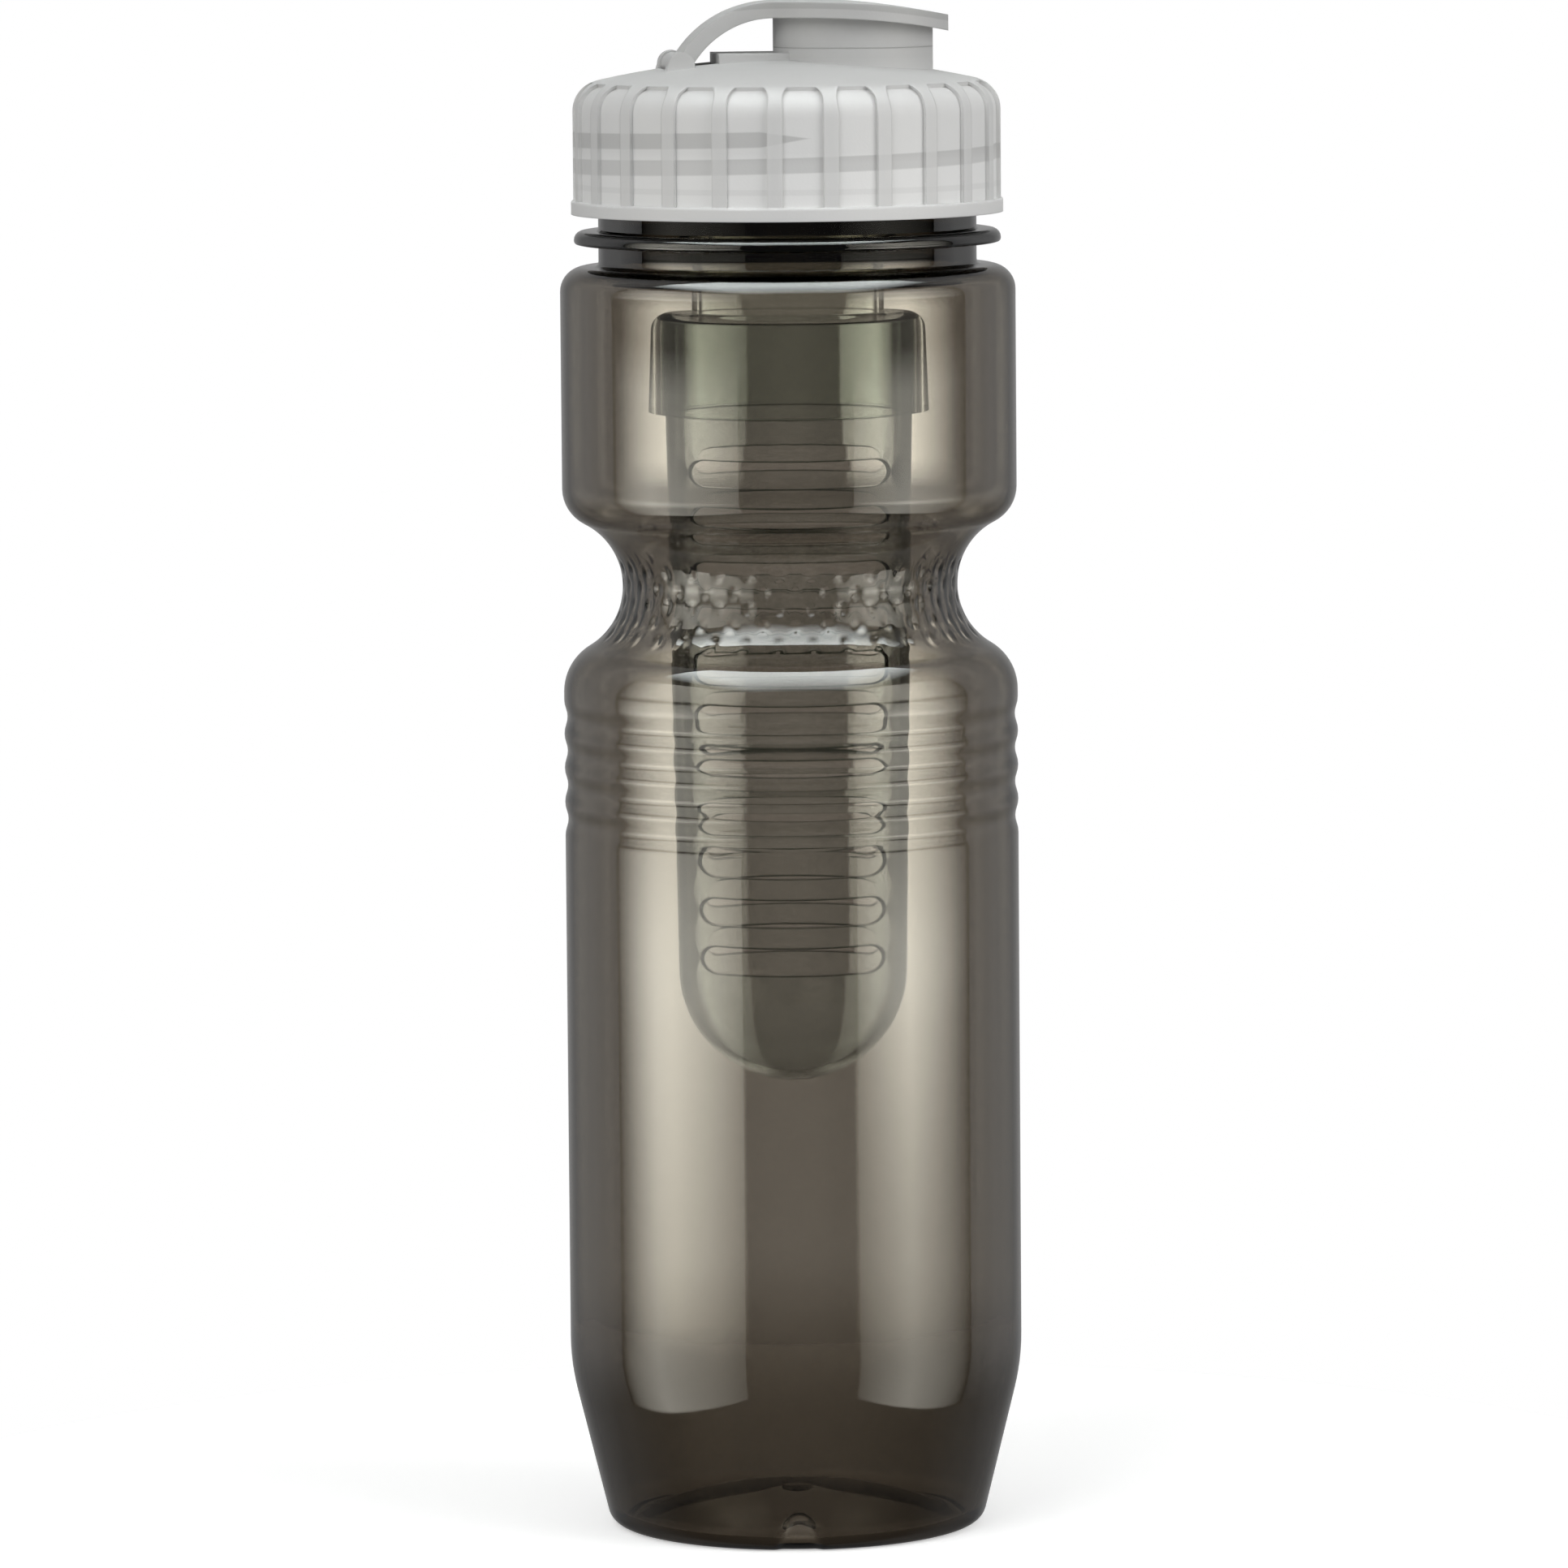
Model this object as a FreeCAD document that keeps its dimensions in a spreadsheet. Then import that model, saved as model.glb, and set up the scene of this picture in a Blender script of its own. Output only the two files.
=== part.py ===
import FreeCAD, Part
import os
import re
import Sketcher

# Fruit infuser water bottle: a blown bottle with a screw cap, a flip lid and a slotted infuser that
# hangs from the cap. Lengths are in mm and turns in degrees. Z is up, the foot stands on z = 0, the
# bottle's axis is the Z axis, the hinge of the lid lies on the -X side and the spout on the +X side.

SIZES = {
    "body_radius": (36.5, "outer radius of the straight body and of the chest"),
    "wall": (1.1, "wall of the blown bottle"),
    "heel_inset": (8.8, "standing ring inside the straight body"),
    "foot_width": (3.2, "width of the flat standing ring"),
    "pushup_height": (2.6, "rise of the base inside the standing ring"),
    "gate_radius": (2.5, "radius of the moulding gate under the base"),
    "gate_height": (0.9, "height of the moulding gate"),
    "heel_fillet": (3.0, "rounding between foot and heel"),
    "heel_height": (26.2, "height of the top of the tapered heel"),
    "label_height": (85.85, "straight body between heel and grip rings"),
    "ring_pitch": (5.5, "pitch of the grip rings"),
    "ring_depth": (0.5, "depth of the grooves between the grip rings"),
    "ring_count": (4, "number of grip grooves"),
    "band_height": (1.25, "straight band above the grip rings"),
    "lower_shoulder": (8.35, "rounding from the body into the waist"),
    "waist_depth": (9.6, "depth of the waist below the straight body"),
    "waist_curve": (11.5, "hollow curve of the waist"),
    "upper_shoulder": (6.2, "rounding from the waist into the chest"),
    "chest_height": (31.6, "straight wall of the chest"),
    "shoulder_fillet": (4.0, "rounding from the chest to the neck shoulder"),
    "neck_inset": (6.2, "neck without thread inside the chest"),
    "neck_wall": (2.2, "wall of the neck"),
    "neck_base": (3.6, "neck below the carry ring"),
    "carry_reach": (3.9, "reach of the carry ring past the neck"),
    "carry_thickness": (2.1, "thickness of the carry ring"),
    "carry_round": (0.7, "rounded edge of the carry ring"),
    "finish_height": (20.1, "neck from carry ring to rim"),
    "gasket_thickness": (1.5, "thickness of the flat gasket"),
    "thread_space": (1.4, "room for the threads between neck and cap"),
    "skirt_depth": (18.9, "depth of the skirt below the roof of the cap"),
    "skirt_wall": (1.9, "wall of the skirt at the bottom of a flute"),
    "flute_depth": (0.65, "depth of the flutes"),
    "flute_count": (24, "number of flutes"),
    "flute_width": (6.5, "width of a flute"),
    "flute_round": (2.4, "rounding of the arched end of a flute"),
    "flute_end": (68, "angle on the crown corner at which a flute ends"),
    "flute_phase": (12.35, "turn of the first flute away from the front"),
    "flange_height": (2.2, "height of the smooth flange under the flutes"),
    "flange_lip": (0.35, "reach of the flange past the ribs"),
    "roof_thickness": (2.5, "cap above the gasket"),
    "crown_corner": (5.0, "rounding between skirt and crown"),
    "crown_radius": (140, "sphere radius of the crown"),
    "crown_wall": (1.8, "wall of the crown"),
    "plug_ring_gap": (0.7, "gap between neck bore and inner ring of the cap"),
    "plug_ring_wall": (1.5, "wall of the inner ring of the cap"),
    "plug_ring_depth": (3.5, "reach of the inner ring below the roof"),
    "spout_offset": (10.8, "distance of the spout from the bottle's axis"),
    "spout_radius": (10.7, "outer radius of the spout"),
    "spout_wall": (1.7, "wall of the spout"),
    "spout_height": (4.5, "spout rim above the top of the crown"),
    "seat_radius": (12.8, "radius of the seat round the spout"),
    "seat_height": (1.8, "seat above the top of the crown"),
    "deck_drop": (0.7, "floor of the spout below the top of the crown"),
    "drink_offset": (7.0, "distance of the drinking hole from the bottle's axis"),
    "drink_radius": (6.5, "radius of the drinking hole"),
    "bridge_length": (11.5, "reach of the bridge towards the hinge"),
    "bridge_width": (13.0, "width of the bridge"),
    "bridge_height": (1.0, "bridge above the top of the crown"),
    "hinge_offset": (17.7, "distance of the hinge pin from the bottle's axis"),
    "hinge_drop": (0.8, "hinge pin below the top of the crown"),
    "pin_radius": (1.2, "radius of the hinge pin"),
    "pin_clearance": (0.07, "radial play of the hinge pin"),
    "ear_radius": (2.15, "rounded top of a hinge ear"),
    "ear_foot": (2.7, "half the length of the foot of a hinge ear"),
    "ear_thickness": (3.4, "thickness of a hinge ear"),
    "ear_cover": (1.0, "closed outer side of a hinge ear past the pin"),
    "arm_width": (9.0, "width of the lid's arm"),
    "arm_side_gap": (0.25, "gap between the arm and a hinge ear"),
    "knuckle_radius": (1.9, "radius of the lid's hinge knuckle"),
    "knuckle_gap": (0.4, "gap round the knuckle in the hinge recess"),
    "recess_wall": (1.4, "wall round the hinge recess inside the cap"),
    "lid_radius": (15.3, "radius of the lid's disc"),
    "lid_thickness": (2.5, "thickness of the lid"),
    "lid_rise": (4.7, "top of the lid above the spout rim"),
    "lid_arch": (118, "radius of the arch along the lid"),
    "lid_crest": (2.0, "distance of the top of the arch from the bottle's axis"),
    "lid_bend": (18.0, "radius of the bend of the arm"),
    "bend_start": (3.0, "distance behind the bottle's axis where the arm begins to bend"),
    "arm_flare": (7.0, "rounding between arm and disc"),
    "lid_skirt_wall": (1.4, "wall of the lid's skirt"),
    "lid_gap": (0.2, "gap between the closed lid and the cap"),
    "stopper_gap": (0.12, "gap between stopper and spout at the rim"),
    "stopper_taper": (0.6, "taper of the stopper over its depth"),
    "stopper_depth": (3.0, "reach of the stopper below the spout rim"),
    "stopper_wall": (1.3, "wall of the stopper"),
    "neck_tube": (15.4, "outer radius of the infuser's neck"),
    "neck_tube_wall": (1.5, "wall of the infuser's neck"),
    "neck_tube_length": (34.2, "infuser's neck above the collar"),
    "socket_gap": (0.3, "gap between the infuser's neck and the cap's socket"),
    "socket_depth": (9.5, "depth of the socket below its ledge"),
    "socket_wall": (1.2, "wall of the socket behind the seal"),
    "ledge_drop": (5.5, "ledge of the socket below the top of the crown"),
    "seal_section": (0.9, "radius of the round section of the collar seal"),
    "seal_gap": (0.15, "gap round the collar seal in its groove"),
    "seal_drop": (4.5, "collar seal below the ledge of the socket"),
    "collar_radius": (22.0, "radius of the collar at its shoulder"),
    "collar_flare": (0.5, "growth of the collar's radius towards its lower edge"),
    "collar_height": (16.5, "height of the collar"),
    "collar_round": (3.0, "rounding of the collar's shoulder"),
    "collar_wall": (1.4, "wall of the collar"),
    "basket_gap": (0.3, "gap between basket and collar"),
    "basket_step": (0.5, "step of the basket below the collar"),
    "basket_length": (89.7, "tapered part of the basket below the collar"),
    "basket_end": (18.4, "radius of the round end of the basket"),
    "basket_wall": (1.5, "wall of the basket"),
    "slot_count": (11, "number of slots on each side"),
    "slot_first": (9.3, "first slot below the collar"),
    "slot_pitch": (7.77, "pitch of the slots"),
    "slot_height": (4.3, "height of a slot"),
    "slot_top_length": (30.9, "length of the top slot"),
    "slot_low_length": (28.3, "length of the lowest slot"),
    "slot_turn": (-7, "turn of the slots about the bottle's axis"),
}

RELATIONS = {
    "foot_radius": "body_radius - heel_inset",
    "waist_radius": "body_radius - waist_depth",
    "neck_radius": "body_radius - neck_inset",
    "carry_radius": "neck_radius + carry_reach",
    "heel_climb": "heel_height - heel_fillet",
    "heel_tilt": "acos(heel_fillet / sqrt(heel_inset^2 + heel_climb^2)) - atan2(heel_climb; heel_inset)",
    "foot_inner": "foot_radius - foot_width",
    "base_curve": "(foot_inner^2 + pushup_height^2) / (2 * pushup_height)",
    "gate_root": "pushup_height - base_curve + sqrt(base_curve^2 - gate_radius^2)",
    "rings_base": "heel_height + label_height",
    "rings_top": "rings_base + ring_count * ring_pitch",
    "ring_curve": "(ring_pitch^2 / 16 + ring_depth^2 / 4) / ring_depth",
    "band_top": "rings_top + band_height",
    "waist_reach": "waist_curve - waist_depth",
    "lower_rise": "sqrt((waist_curve + lower_shoulder)^2 - (waist_reach + lower_shoulder)^2)",
    "upper_rise": "sqrt((waist_curve + upper_shoulder)^2 - (waist_reach + upper_shoulder)^2)",
    "waist_level": "band_top + lower_rise",
    "chest_base": "waist_level + upper_rise",
    "chest_top": "chest_base + chest_height",
    "shoulder_top": "chest_top + shoulder_fillet",
    "carry_base": "shoulder_top + neck_base",
    "carry_top": "carry_base + carry_thickness",
    "rim": "carry_top + finish_height",
    "neck_bore": "neck_radius - neck_wall",
    "roof": "rim + gasket_thickness",
    "cap_base": "roof - skirt_depth",
    "flange_top": "cap_base + flange_height",
    "skirt_bore": "neck_radius + thread_space",
    "flute_floor": "skirt_bore + skirt_wall",
    "cap_radius": "flute_floor + flute_depth",
    "corner_center": "cap_radius - crown_corner",
    "corner_level": "roof + roof_thickness - crown_corner",
    "crown_fall": "sqrt((crown_radius - crown_corner)^2 - corner_center^2)",
    "crown_center": "corner_level - crown_fall",
    "crown_ratio": "crown_radius / (crown_radius - crown_corner)",
    "apex": "crown_center + crown_radius",
    "plug_outer": "neck_bore - plug_ring_gap",
    "plug_inner": "plug_outer - plug_ring_wall",
    "inner_crown": "crown_radius - crown_wall",
    "middle_crown": "crown_radius - crown_wall / 2",
    "spout_bore": "spout_radius - spout_wall",
    "spout_rim": "apex + spout_height",
    "seat_top": "apex + seat_height",
    "bridge_top": "apex + bridge_height",
    "deck": "apex - deck_drop",
    "seat_root": "crown_center + sqrt(middle_crown^2 - (spout_offset + seat_radius)^2)",
    "bridge_root": "crown_center + sqrt(middle_crown^2 - bridge_length^2)",
    "hinge_level": "apex - hinge_drop",
    "ear_gap": "arm_width + 2 * arm_side_gap",
    "hinge_width": "ear_gap + 2 * ear_thickness",
    "pin_length": "hinge_width - 2 * ear_cover",
    "ear_root": "crown_center + sqrt(middle_crown^2 - (hinge_offset + ear_foot)^2 - hinge_width^2 / 4)",
    "recess_floor": "hinge_level - knuckle_radius - knuckle_gap",
    "recess_back": "hinge_offset + knuckle_radius + knuckle_gap",
    "tub_floor": "recess_floor - recess_wall",
    "tub_top": "crown_center + sqrt(middle_crown^2 - (recess_back + recess_wall)^2 - ear_gap^2 / 4)",
    "ledge": "apex - ledge_drop",
    "socket_bore": "neck_tube + socket_gap",
    "socket_floor": "ledge - socket_depth",
    "seal_center": "socket_bore + seal_section",
    "seal_level": "ledge - seal_drop",
    "groove_radius": "seal_center + seal_section + seal_gap",
    "groove_half": "seal_section + seal_gap",
    "socket_radius": "groove_radius + socket_wall",
    "socket_root": "crown_center + sqrt(middle_crown^2 - socket_radius^2)",
    "neck_tube_bore": "neck_tube - neck_tube_wall",
    "lid_top": "spout_rim + lid_rise",
    "arch_center": "lid_top - lid_arch",
    "bend_across": "-(bend_start + lid_crest) / lid_arch",
    "bend_up": "sqrt(1 - bend_across^2)",
    "bend_center": "-bend_start - lid_bend * bend_across",
    "bend_level": "arch_center + (lid_arch - lid_bend) * bend_up",
    "lid_ceiling": "spout_rim + lid_gap",
    "lid_skirt_base": "seat_top",
    "lid_core": "lid_top - 0.96 * lid_thickness",
    "lid_reach": "spout_offset + 1.1 * lid_radius",
    "lid_tail": "hinge_offset + knuckle_radius",
    "flare_center": "arm_width / 2 + arm_flare",
    "flare_reach": "sqrt((lid_radius + arm_flare)^2 - flare_center^2)",
    "flare_share": "lid_radius / (lid_radius + arm_flare)",
    "stopper_top": "spout_bore - stopper_gap",
    "stopper_base": "spout_rim - stopper_depth",
    "neck_tube_top": "ledge - lid_gap",
    "collar_top": "neck_tube_top - neck_tube_length",
    "collar_base": "collar_top - collar_height",
    "collar_bore": "collar_radius - collar_wall",
    "collar_ceiling": "collar_top - collar_wall",
    "basket_rim": "collar_bore - basket_gap",
    "basket_radius": "basket_rim - basket_step",
    "basket_shoulder": "collar_base - basket_gap",
    "end_level": "collar_base - basket_length",
    "slot_end": "slot_height / 2",
    "slot_shrink": "(slot_top_length - slot_low_length) / (slot_count - 1)",
}

doc = FreeCAD.newDocument("infuser_bottle")
sheet = doc.addObject("Spreadsheet::Sheet", "Sizes")
for row, (alias, (value, meaning)) in enumerate(SIZES.items(), start=1):
    sheet.set(f"A{row}", alias)
    sheet.set(f"B{row}", str(value))
    sheet.setAlias(f"B{row}", alias)
    sheet.set(f"C{row}", meaning)
doc.recompute()


def formula(text):
    """Spell out a size or relation as an expression on the spreadsheet."""

    def spelled(match):
        name = match.group(0)
        if name in RELATIONS:
            return "(" + formula(RELATIONS[name]) + ")"
        return "Sizes." + name if name in SIZES else name

    return re.sub(r"[a-z_]+", spelled, text)


def number(text):
    """Value of a size or relation."""
    value = sheet.evalExpression(formula(text))
    return float(getattr(value, "Value", value))


def bind(item, prop, text):
    """Drive a property of a feature from the spreadsheet."""
    item.setExpression(prop, formula(text))


def new_body(label):
    """Empty body of one piece."""
    body = doc.addObject("PartDesign::Body", label)
    body.Label = label
    return body


def add_sketch(body, name, plane, level=None, turn=None):
    """Sketch on an origin plane, raised to a level or turned about the bottle's axis."""
    sketch = body.newObject("Sketcher::SketchObject", name)
    support = [item for item in body.Origin.OriginFeatures if item.Role == plane][0]
    sketch.AttachmentSupport = [(support, "")]
    sketch.MapMode = "FlatFace"
    if level:
        sketch.AttachmentOffset = FreeCAD.Placement(
            FreeCAD.Vector(0, 0, number(level)), FreeCAD.Rotation()
        )
        bind(sketch, "AttachmentOffset.Base.z", level)
    if turn:
        sketch.AttachmentOffset = FreeCAD.Placement(
            FreeCAD.Vector(), FreeCAD.Rotation(FreeCAD.Vector(0, 1, 0), number(turn))
        )
        bind(sketch, "AttachmentOffset.Rotation.Angle", turn)
    return sketch


def held(kind, place, text):
    """Dimension of one coordinate of a point from the sketch's origin, or its place on the axis."""
    if abs(number(text)) < 1e-9:
        axis = -2 if kind == "DistanceX" else -1
        return Sketcher.Constraint("PointOnObject", *place, axis), None
    return Sketcher.Constraint(kind, -1, 1, *place, number(text)), text


def constrain(sketch, dimensions):
    """Add constraints at once and drive each dimension from the spreadsheet."""
    first = sketch.ConstraintCount
    sketch.addConstraint([constraint for constraint, text in dimensions])
    for index, (constraint, text) in enumerate(dimensions, start=first):
        if text:
            name = f"{constraint.Type}_{index}_of"
            sketch.renameConstraint(index, name)
            bind(sketch, f"Constraints.{name}", text)


def arc_between(start, end, radius, side):
    """Arc from start to end; side 1 turns left on the way, side -1 turns right."""
    chord = end - start
    half = chord.Length / 2
    reach = max(radius * radius - half * half, 0.0) ** 0.5
    middle = (start + end) * 0.5
    center = middle + FreeCAD.Vector(-chord.y, chord.x, 0) * (side * reach / chord.Length)
    circle = Part.Circle(center, FreeCAD.Vector(0, 0, 1), radius)
    first, last = (start, end) if side > 0 else (end, start)
    return Part.ArcOfCircle(circle, circle.parameter(first), circle.parameter(last))


def draw_outline(sketch, corners):
    """Closed outline. A corner is (across, up) or, where an arc leads to it, (across, up, radius, side)."""
    points = [FreeCAD.Vector(number(corner[0]), number(corner[1]), 0) for corner in corners]
    ends = []
    dimensions = []
    for index, corner in enumerate(corners):
        start = points[index - 1]
        if len(corner) == 2:
            edge = sketch.addGeometry(Part.LineSegment(start, points[index]))
            ends.append(((edge, 1), (edge, 2)))
            continue
        radius = number(corner[2])
        edge = sketch.addGeometry(arc_between(start, points[index], radius, corner[3]))
        ends.append(((edge, 1), (edge, 2)) if corner[3] > 0 else ((edge, 2), (edge, 1)))
        dimensions.append((Sketcher.Constraint("Radius", edge, radius), corner[2]))
    for index, corner in enumerate(corners):
        finish = ends[index][1]
        begin = ends[(index + 1) % len(ends)][0]
        dimensions.append((Sketcher.Constraint("Coincident", *finish, *begin), None))
        dimensions.append(held("DistanceX", finish, corner[0]))
        dimensions.append(held("DistanceY", finish, corner[1]))
    constrain(sketch, dimensions)


def draw_box(sketch, left, right, low, high):
    """Rectangle between two pairs of coordinates."""
    draw_outline(sketch, [(left, low), (right, low), (right, high), (left, high)])


def draw_circle(sketch, across, up, radius):
    """Circle with a dimensioned centre and radius."""
    center = FreeCAD.Vector(number(across), number(up), 0)
    edge = sketch.addGeometry(Part.Circle(center, FreeCAD.Vector(0, 0, 1), number(radius)))
    size = Sketcher.Constraint("Radius", edge, number(radius))
    places = [held("DistanceX", (edge, 3), across), held("DistanceY", (edge, 3), up)]
    constrain(sketch, [(size, radius), *places])


def revolve(body, name, corners):
    """Turn an outline about the bottle's axis."""
    sketch = add_sketch(body, name + "_outline", "XZ_Plane")
    draw_outline(sketch, corners)
    turned = body.newObject("PartDesign::Revolution", name)
    turned.Profile = sketch
    turned.ReferenceAxis = (sketch, ["V_Axis"])
    turned.Angle = 360
    doc.recompute()
    return turned


def extrude(body, name, kind, sketch, length, symmetric=False, reversed=False):
    """Pad or Pocket of a sketch by a length."""
    before = body.Tip.Shape.Volume if body.Tip else 0.0
    feature = body.newObject("PartDesign::" + kind, name)
    feature.Profile = sketch
    feature.SideType = "Symmetric" if symmetric else "One side"
    feature.Reversed = reversed
    bind(feature, "Length", length)
    doc.recompute()
    after = feature.Shape.Volume
    if (after <= before) == (kind == "Pad"):
        raise RuntimeError(f"{name} changed the volume the wrong way: {before} to {after}")
    return feature


def waist_touch(shoulder, offset, level, rise, direction):
    """Point where a shoulder rounding runs into the hollow curve of the waist."""
    share = f"(({shoulder} - {offset}) / ({shoulder} + waist_curve))"
    across = f"body_radius - {shoulder} + {share} * (waist_reach + {shoulder})"
    return across, f"{level} {direction} {share} * {rise}"


def ring_wave(offset, rising):
    """Corners of the grip rings, which swing between body radius and groove, in the order of travel."""
    corners = []
    count = int(round(number("ring_count")))
    for index in range(2 * count):
        across = f"body_radius - {offset} - ring_depth / 2"
        corners.append((across, f"rings_base + {2 * index + 1} * ring_pitch / 4"))
    side = 1
    if not rising:
        corners.reverse()
        side = -1
    wave = []
    for index, corner in enumerate(corners):
        wave.append(corner + ("ring_curve", side if index % 2 == 0 else -side))
    last = "rings_top" if rising else "rings_base"
    wave.append((f"body_radius - {offset}", last, "ring_curve", side))
    return wave


bottle = new_body("blown_bottle")
revolve(
    bottle,
    "bottle_shell",
    [
        ("0", "pushup_height - gate_height"),
        ("gate_radius", "pushup_height - gate_height"),
        ("gate_radius", "gate_root"),
        ("foot_inner", "0", "base_curve", -1),
        ("foot_radius", "0"),
        (
            "foot_radius + heel_fillet * cos(heel_tilt)",
            "heel_fillet - heel_fillet * sin(heel_tilt)",
            "heel_fillet",
            1,
        ),
        ("body_radius", "heel_height"),
        ("body_radius", "rings_base"),
        *ring_wave("0", True),
        ("body_radius", "band_top"),
        (*waist_touch("lower_shoulder", "0", "band_top", "lower_rise", "+"), "lower_shoulder", 1),
        (*waist_touch("upper_shoulder", "0", "chest_base", "upper_rise", "-"), "waist_curve", -1),
        ("body_radius", "chest_base", "upper_shoulder", 1),
        ("body_radius", "chest_top"),
        ("body_radius - shoulder_fillet", "shoulder_top", "shoulder_fillet", 1),
        ("neck_radius", "shoulder_top"),
        ("neck_radius", "carry_base"),
        ("carry_radius - carry_round", "carry_base"),
        ("carry_radius", "carry_base + carry_round", "carry_round", 1),
        ("carry_radius", "carry_top - carry_round"),
        ("carry_radius - carry_round", "carry_top", "carry_round", 1),
        ("neck_radius", "carry_top"),
        ("neck_radius", "rim"),
        ("neck_bore", "rim"),
        ("neck_bore", "shoulder_top - wall"),
        ("body_radius - shoulder_fillet", "shoulder_top - wall"),
        ("body_radius - wall", "chest_top", "shoulder_fillet - wall", -1),
        ("body_radius - wall", "chest_base"),
        (*waist_touch("upper_shoulder", "wall", "chest_base", "upper_rise", "-"), "upper_shoulder - wall", -1),
        (*waist_touch("lower_shoulder", "wall", "band_top", "lower_rise", "+"), "waist_curve + wall", 1),
        ("body_radius - wall", "band_top", "lower_shoulder - wall", -1),
        ("body_radius - wall", "rings_top"),
        *ring_wave("wall", False),
        ("body_radius - wall", "heel_height"),
        (
            "foot_radius + (heel_fillet - wall) * cos(heel_tilt)",
            "heel_fillet - (heel_fillet - wall) * sin(heel_tilt)",
        ),
        ("foot_radius", "wall", "heel_fillet - wall", -1),
        ("foot_inner", "wall"),
        ("0", "pushup_height + wall", "base_curve", 1),
    ],
)


def zone(label, low, high):
    """Zone of the blown bottle between two levels, a node of its own so that collision follows its wall."""
    slab = doc.addObject("Part::Cylinder", label + "_slab")
    bind(slab, "Radius", "2 * body_radius")
    bind(slab, "Height", f"{high} - ({low})")
    bind(slab, "Placement.Base.z", low)
    part = doc.addObject("Part::Common", label)
    part.Base = bottle
    part.Tool = slab
    doc.recompute()
    return part


zones = (
    zone("bottle_heel", "-wall", "heel_height"),
    zone("bottle_body", "heel_height", "rings_base"),
    zone("bottle_waist", "rings_base", "chest_base"),
    zone("bottle_neck", "chest_base", "rim + wall"),
)

gasket = new_body("cap_gasket")
gasket_sketch = add_sketch(gasket, "gasket_outline", "XY_Plane", "rim")
draw_circle(gasket_sketch, "0", "0", "skirt_bore - socket_gap")
draw_circle(gasket_sketch, "0", "0", "plug_outer + socket_gap")
extrude(gasket, "gasket_ring", "Pad", gasket_sketch, "gasket_thickness")

cap = new_body("cap_moulding")
revolve(
    cap,
    "cap_shell",
    [
        ("skirt_bore", "cap_base"),
        ("cap_radius + flange_lip", "cap_base"),
        ("cap_radius + flange_lip", "flange_top - flange_lip"),
        ("cap_radius", "flange_top", "flange_lip", 1),
        ("cap_radius", "corner_level"),
        ("corner_center * crown_ratio", "crown_center + crown_fall * crown_ratio", "crown_corner", 1),
        ("0", "apex", "crown_radius", 1),
        ("0", "apex - crown_wall"),
        ("plug_inner", "crown_center + sqrt(inner_crown^2 - plug_inner^2)", "inner_crown", -1),
        ("plug_inner", "roof - plug_ring_depth"),
        ("plug_outer", "roof - plug_ring_depth"),
        ("plug_outer", "roof"),
        ("skirt_bore", "roof"),
    ],
)
revolve(
    cap,
    "socket_ring",
    [
        ("socket_bore", "socket_floor"),
        ("socket_radius", "socket_floor"),
        ("socket_radius", "socket_root"),
        ("neck_tube_bore", "socket_root"),
        ("neck_tube_bore", "ledge"),
        ("socket_bore", "ledge"),
        ("socket_bore", "seal_level + groove_half"),
        ("groove_radius", "seal_level + groove_half"),
        ("groove_radius", "seal_level - groove_half"),
        ("socket_bore", "seal_level - groove_half"),
    ],
)
bridge_sketch = add_sketch(cap, "bridge_outline", "XY_Plane", "bridge_root")
draw_box(bridge_sketch, "-bridge_length", "spout_offset", "-bridge_width / 2", "bridge_width / 2")
extrude(cap, "bridge", "Pad", bridge_sketch, "bridge_top - bridge_root")
seat_sketch = add_sketch(cap, "seat_outline", "XY_Plane", "seat_root")
draw_circle(seat_sketch, "spout_offset", "0", "seat_radius")
extrude(cap, "seat", "Pad", seat_sketch, "seat_top - seat_root")
spout_sketch = add_sketch(cap, "spout_outline", "XY_Plane", "seat_root")
draw_circle(spout_sketch, "spout_offset", "0", "spout_radius")
extrude(cap, "spout", "Pad", spout_sketch, "spout_rim - seat_root")
bore_sketch = add_sketch(cap, "spout_bore_outline", "XY_Plane", "spout_rim")
draw_circle(bore_sketch, "spout_offset", "0", "spout_bore")
extrude(cap, "spout_hollow", "Pocket", bore_sketch, "spout_rim - deck")
drink_sketch = add_sketch(cap, "drink_outline", "XY_Plane", "deck")
draw_circle(drink_sketch, "drink_offset", "0", "drink_radius")
extrude(cap, "drink_hole", "Pocket", drink_sketch, "deck - ledge")
tub_sketch = add_sketch(cap, "tub_outline", "XY_Plane", "tub_floor")
draw_box(
    tub_sketch,
    "-recess_back - recess_wall",
    "recess_wall - bridge_length",
    "-ear_gap / 2 - recess_wall",
    "ear_gap / 2 + recess_wall",
)
extrude(cap, "hinge_tub", "Pad", tub_sketch, "tub_top - tub_floor")
ear_sketch = add_sketch(cap, "ear_outline", "XZ_Plane")
draw_outline(
    ear_sketch,
    [
        ("-hinge_offset - ear_foot", "ear_root"),
        ("ear_foot - hinge_offset", "ear_root"),
        ("ear_radius - hinge_offset", "hinge_level"),
        ("-hinge_offset", "hinge_level + ear_radius", "ear_radius", 1),
        ("-hinge_offset - ear_radius", "hinge_level", "ear_radius", 1),
    ],
)
extrude(cap, "hinge_ears", "Pad", ear_sketch, "hinge_width", True)
recess_sketch = add_sketch(cap, "recess_outline", "XY_Plane", "bridge_top + ear_radius")
draw_box(recess_sketch, "-recess_back", "-bridge_length", "-ear_gap / 2", "ear_gap / 2")
extrude(cap, "hinge_recess", "Pocket", recess_sketch, "bridge_top + ear_radius - recess_floor")
pin_hole_sketch = add_sketch(cap, "pin_hole_outline", "XZ_Plane")
draw_circle(pin_hole_sketch, "-hinge_offset", "hinge_level", "pin_radius + pin_clearance")
extrude(cap, "pin_hole", "Pocket", pin_hole_sketch, "pin_length + 2 * pin_clearance", True)

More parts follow.
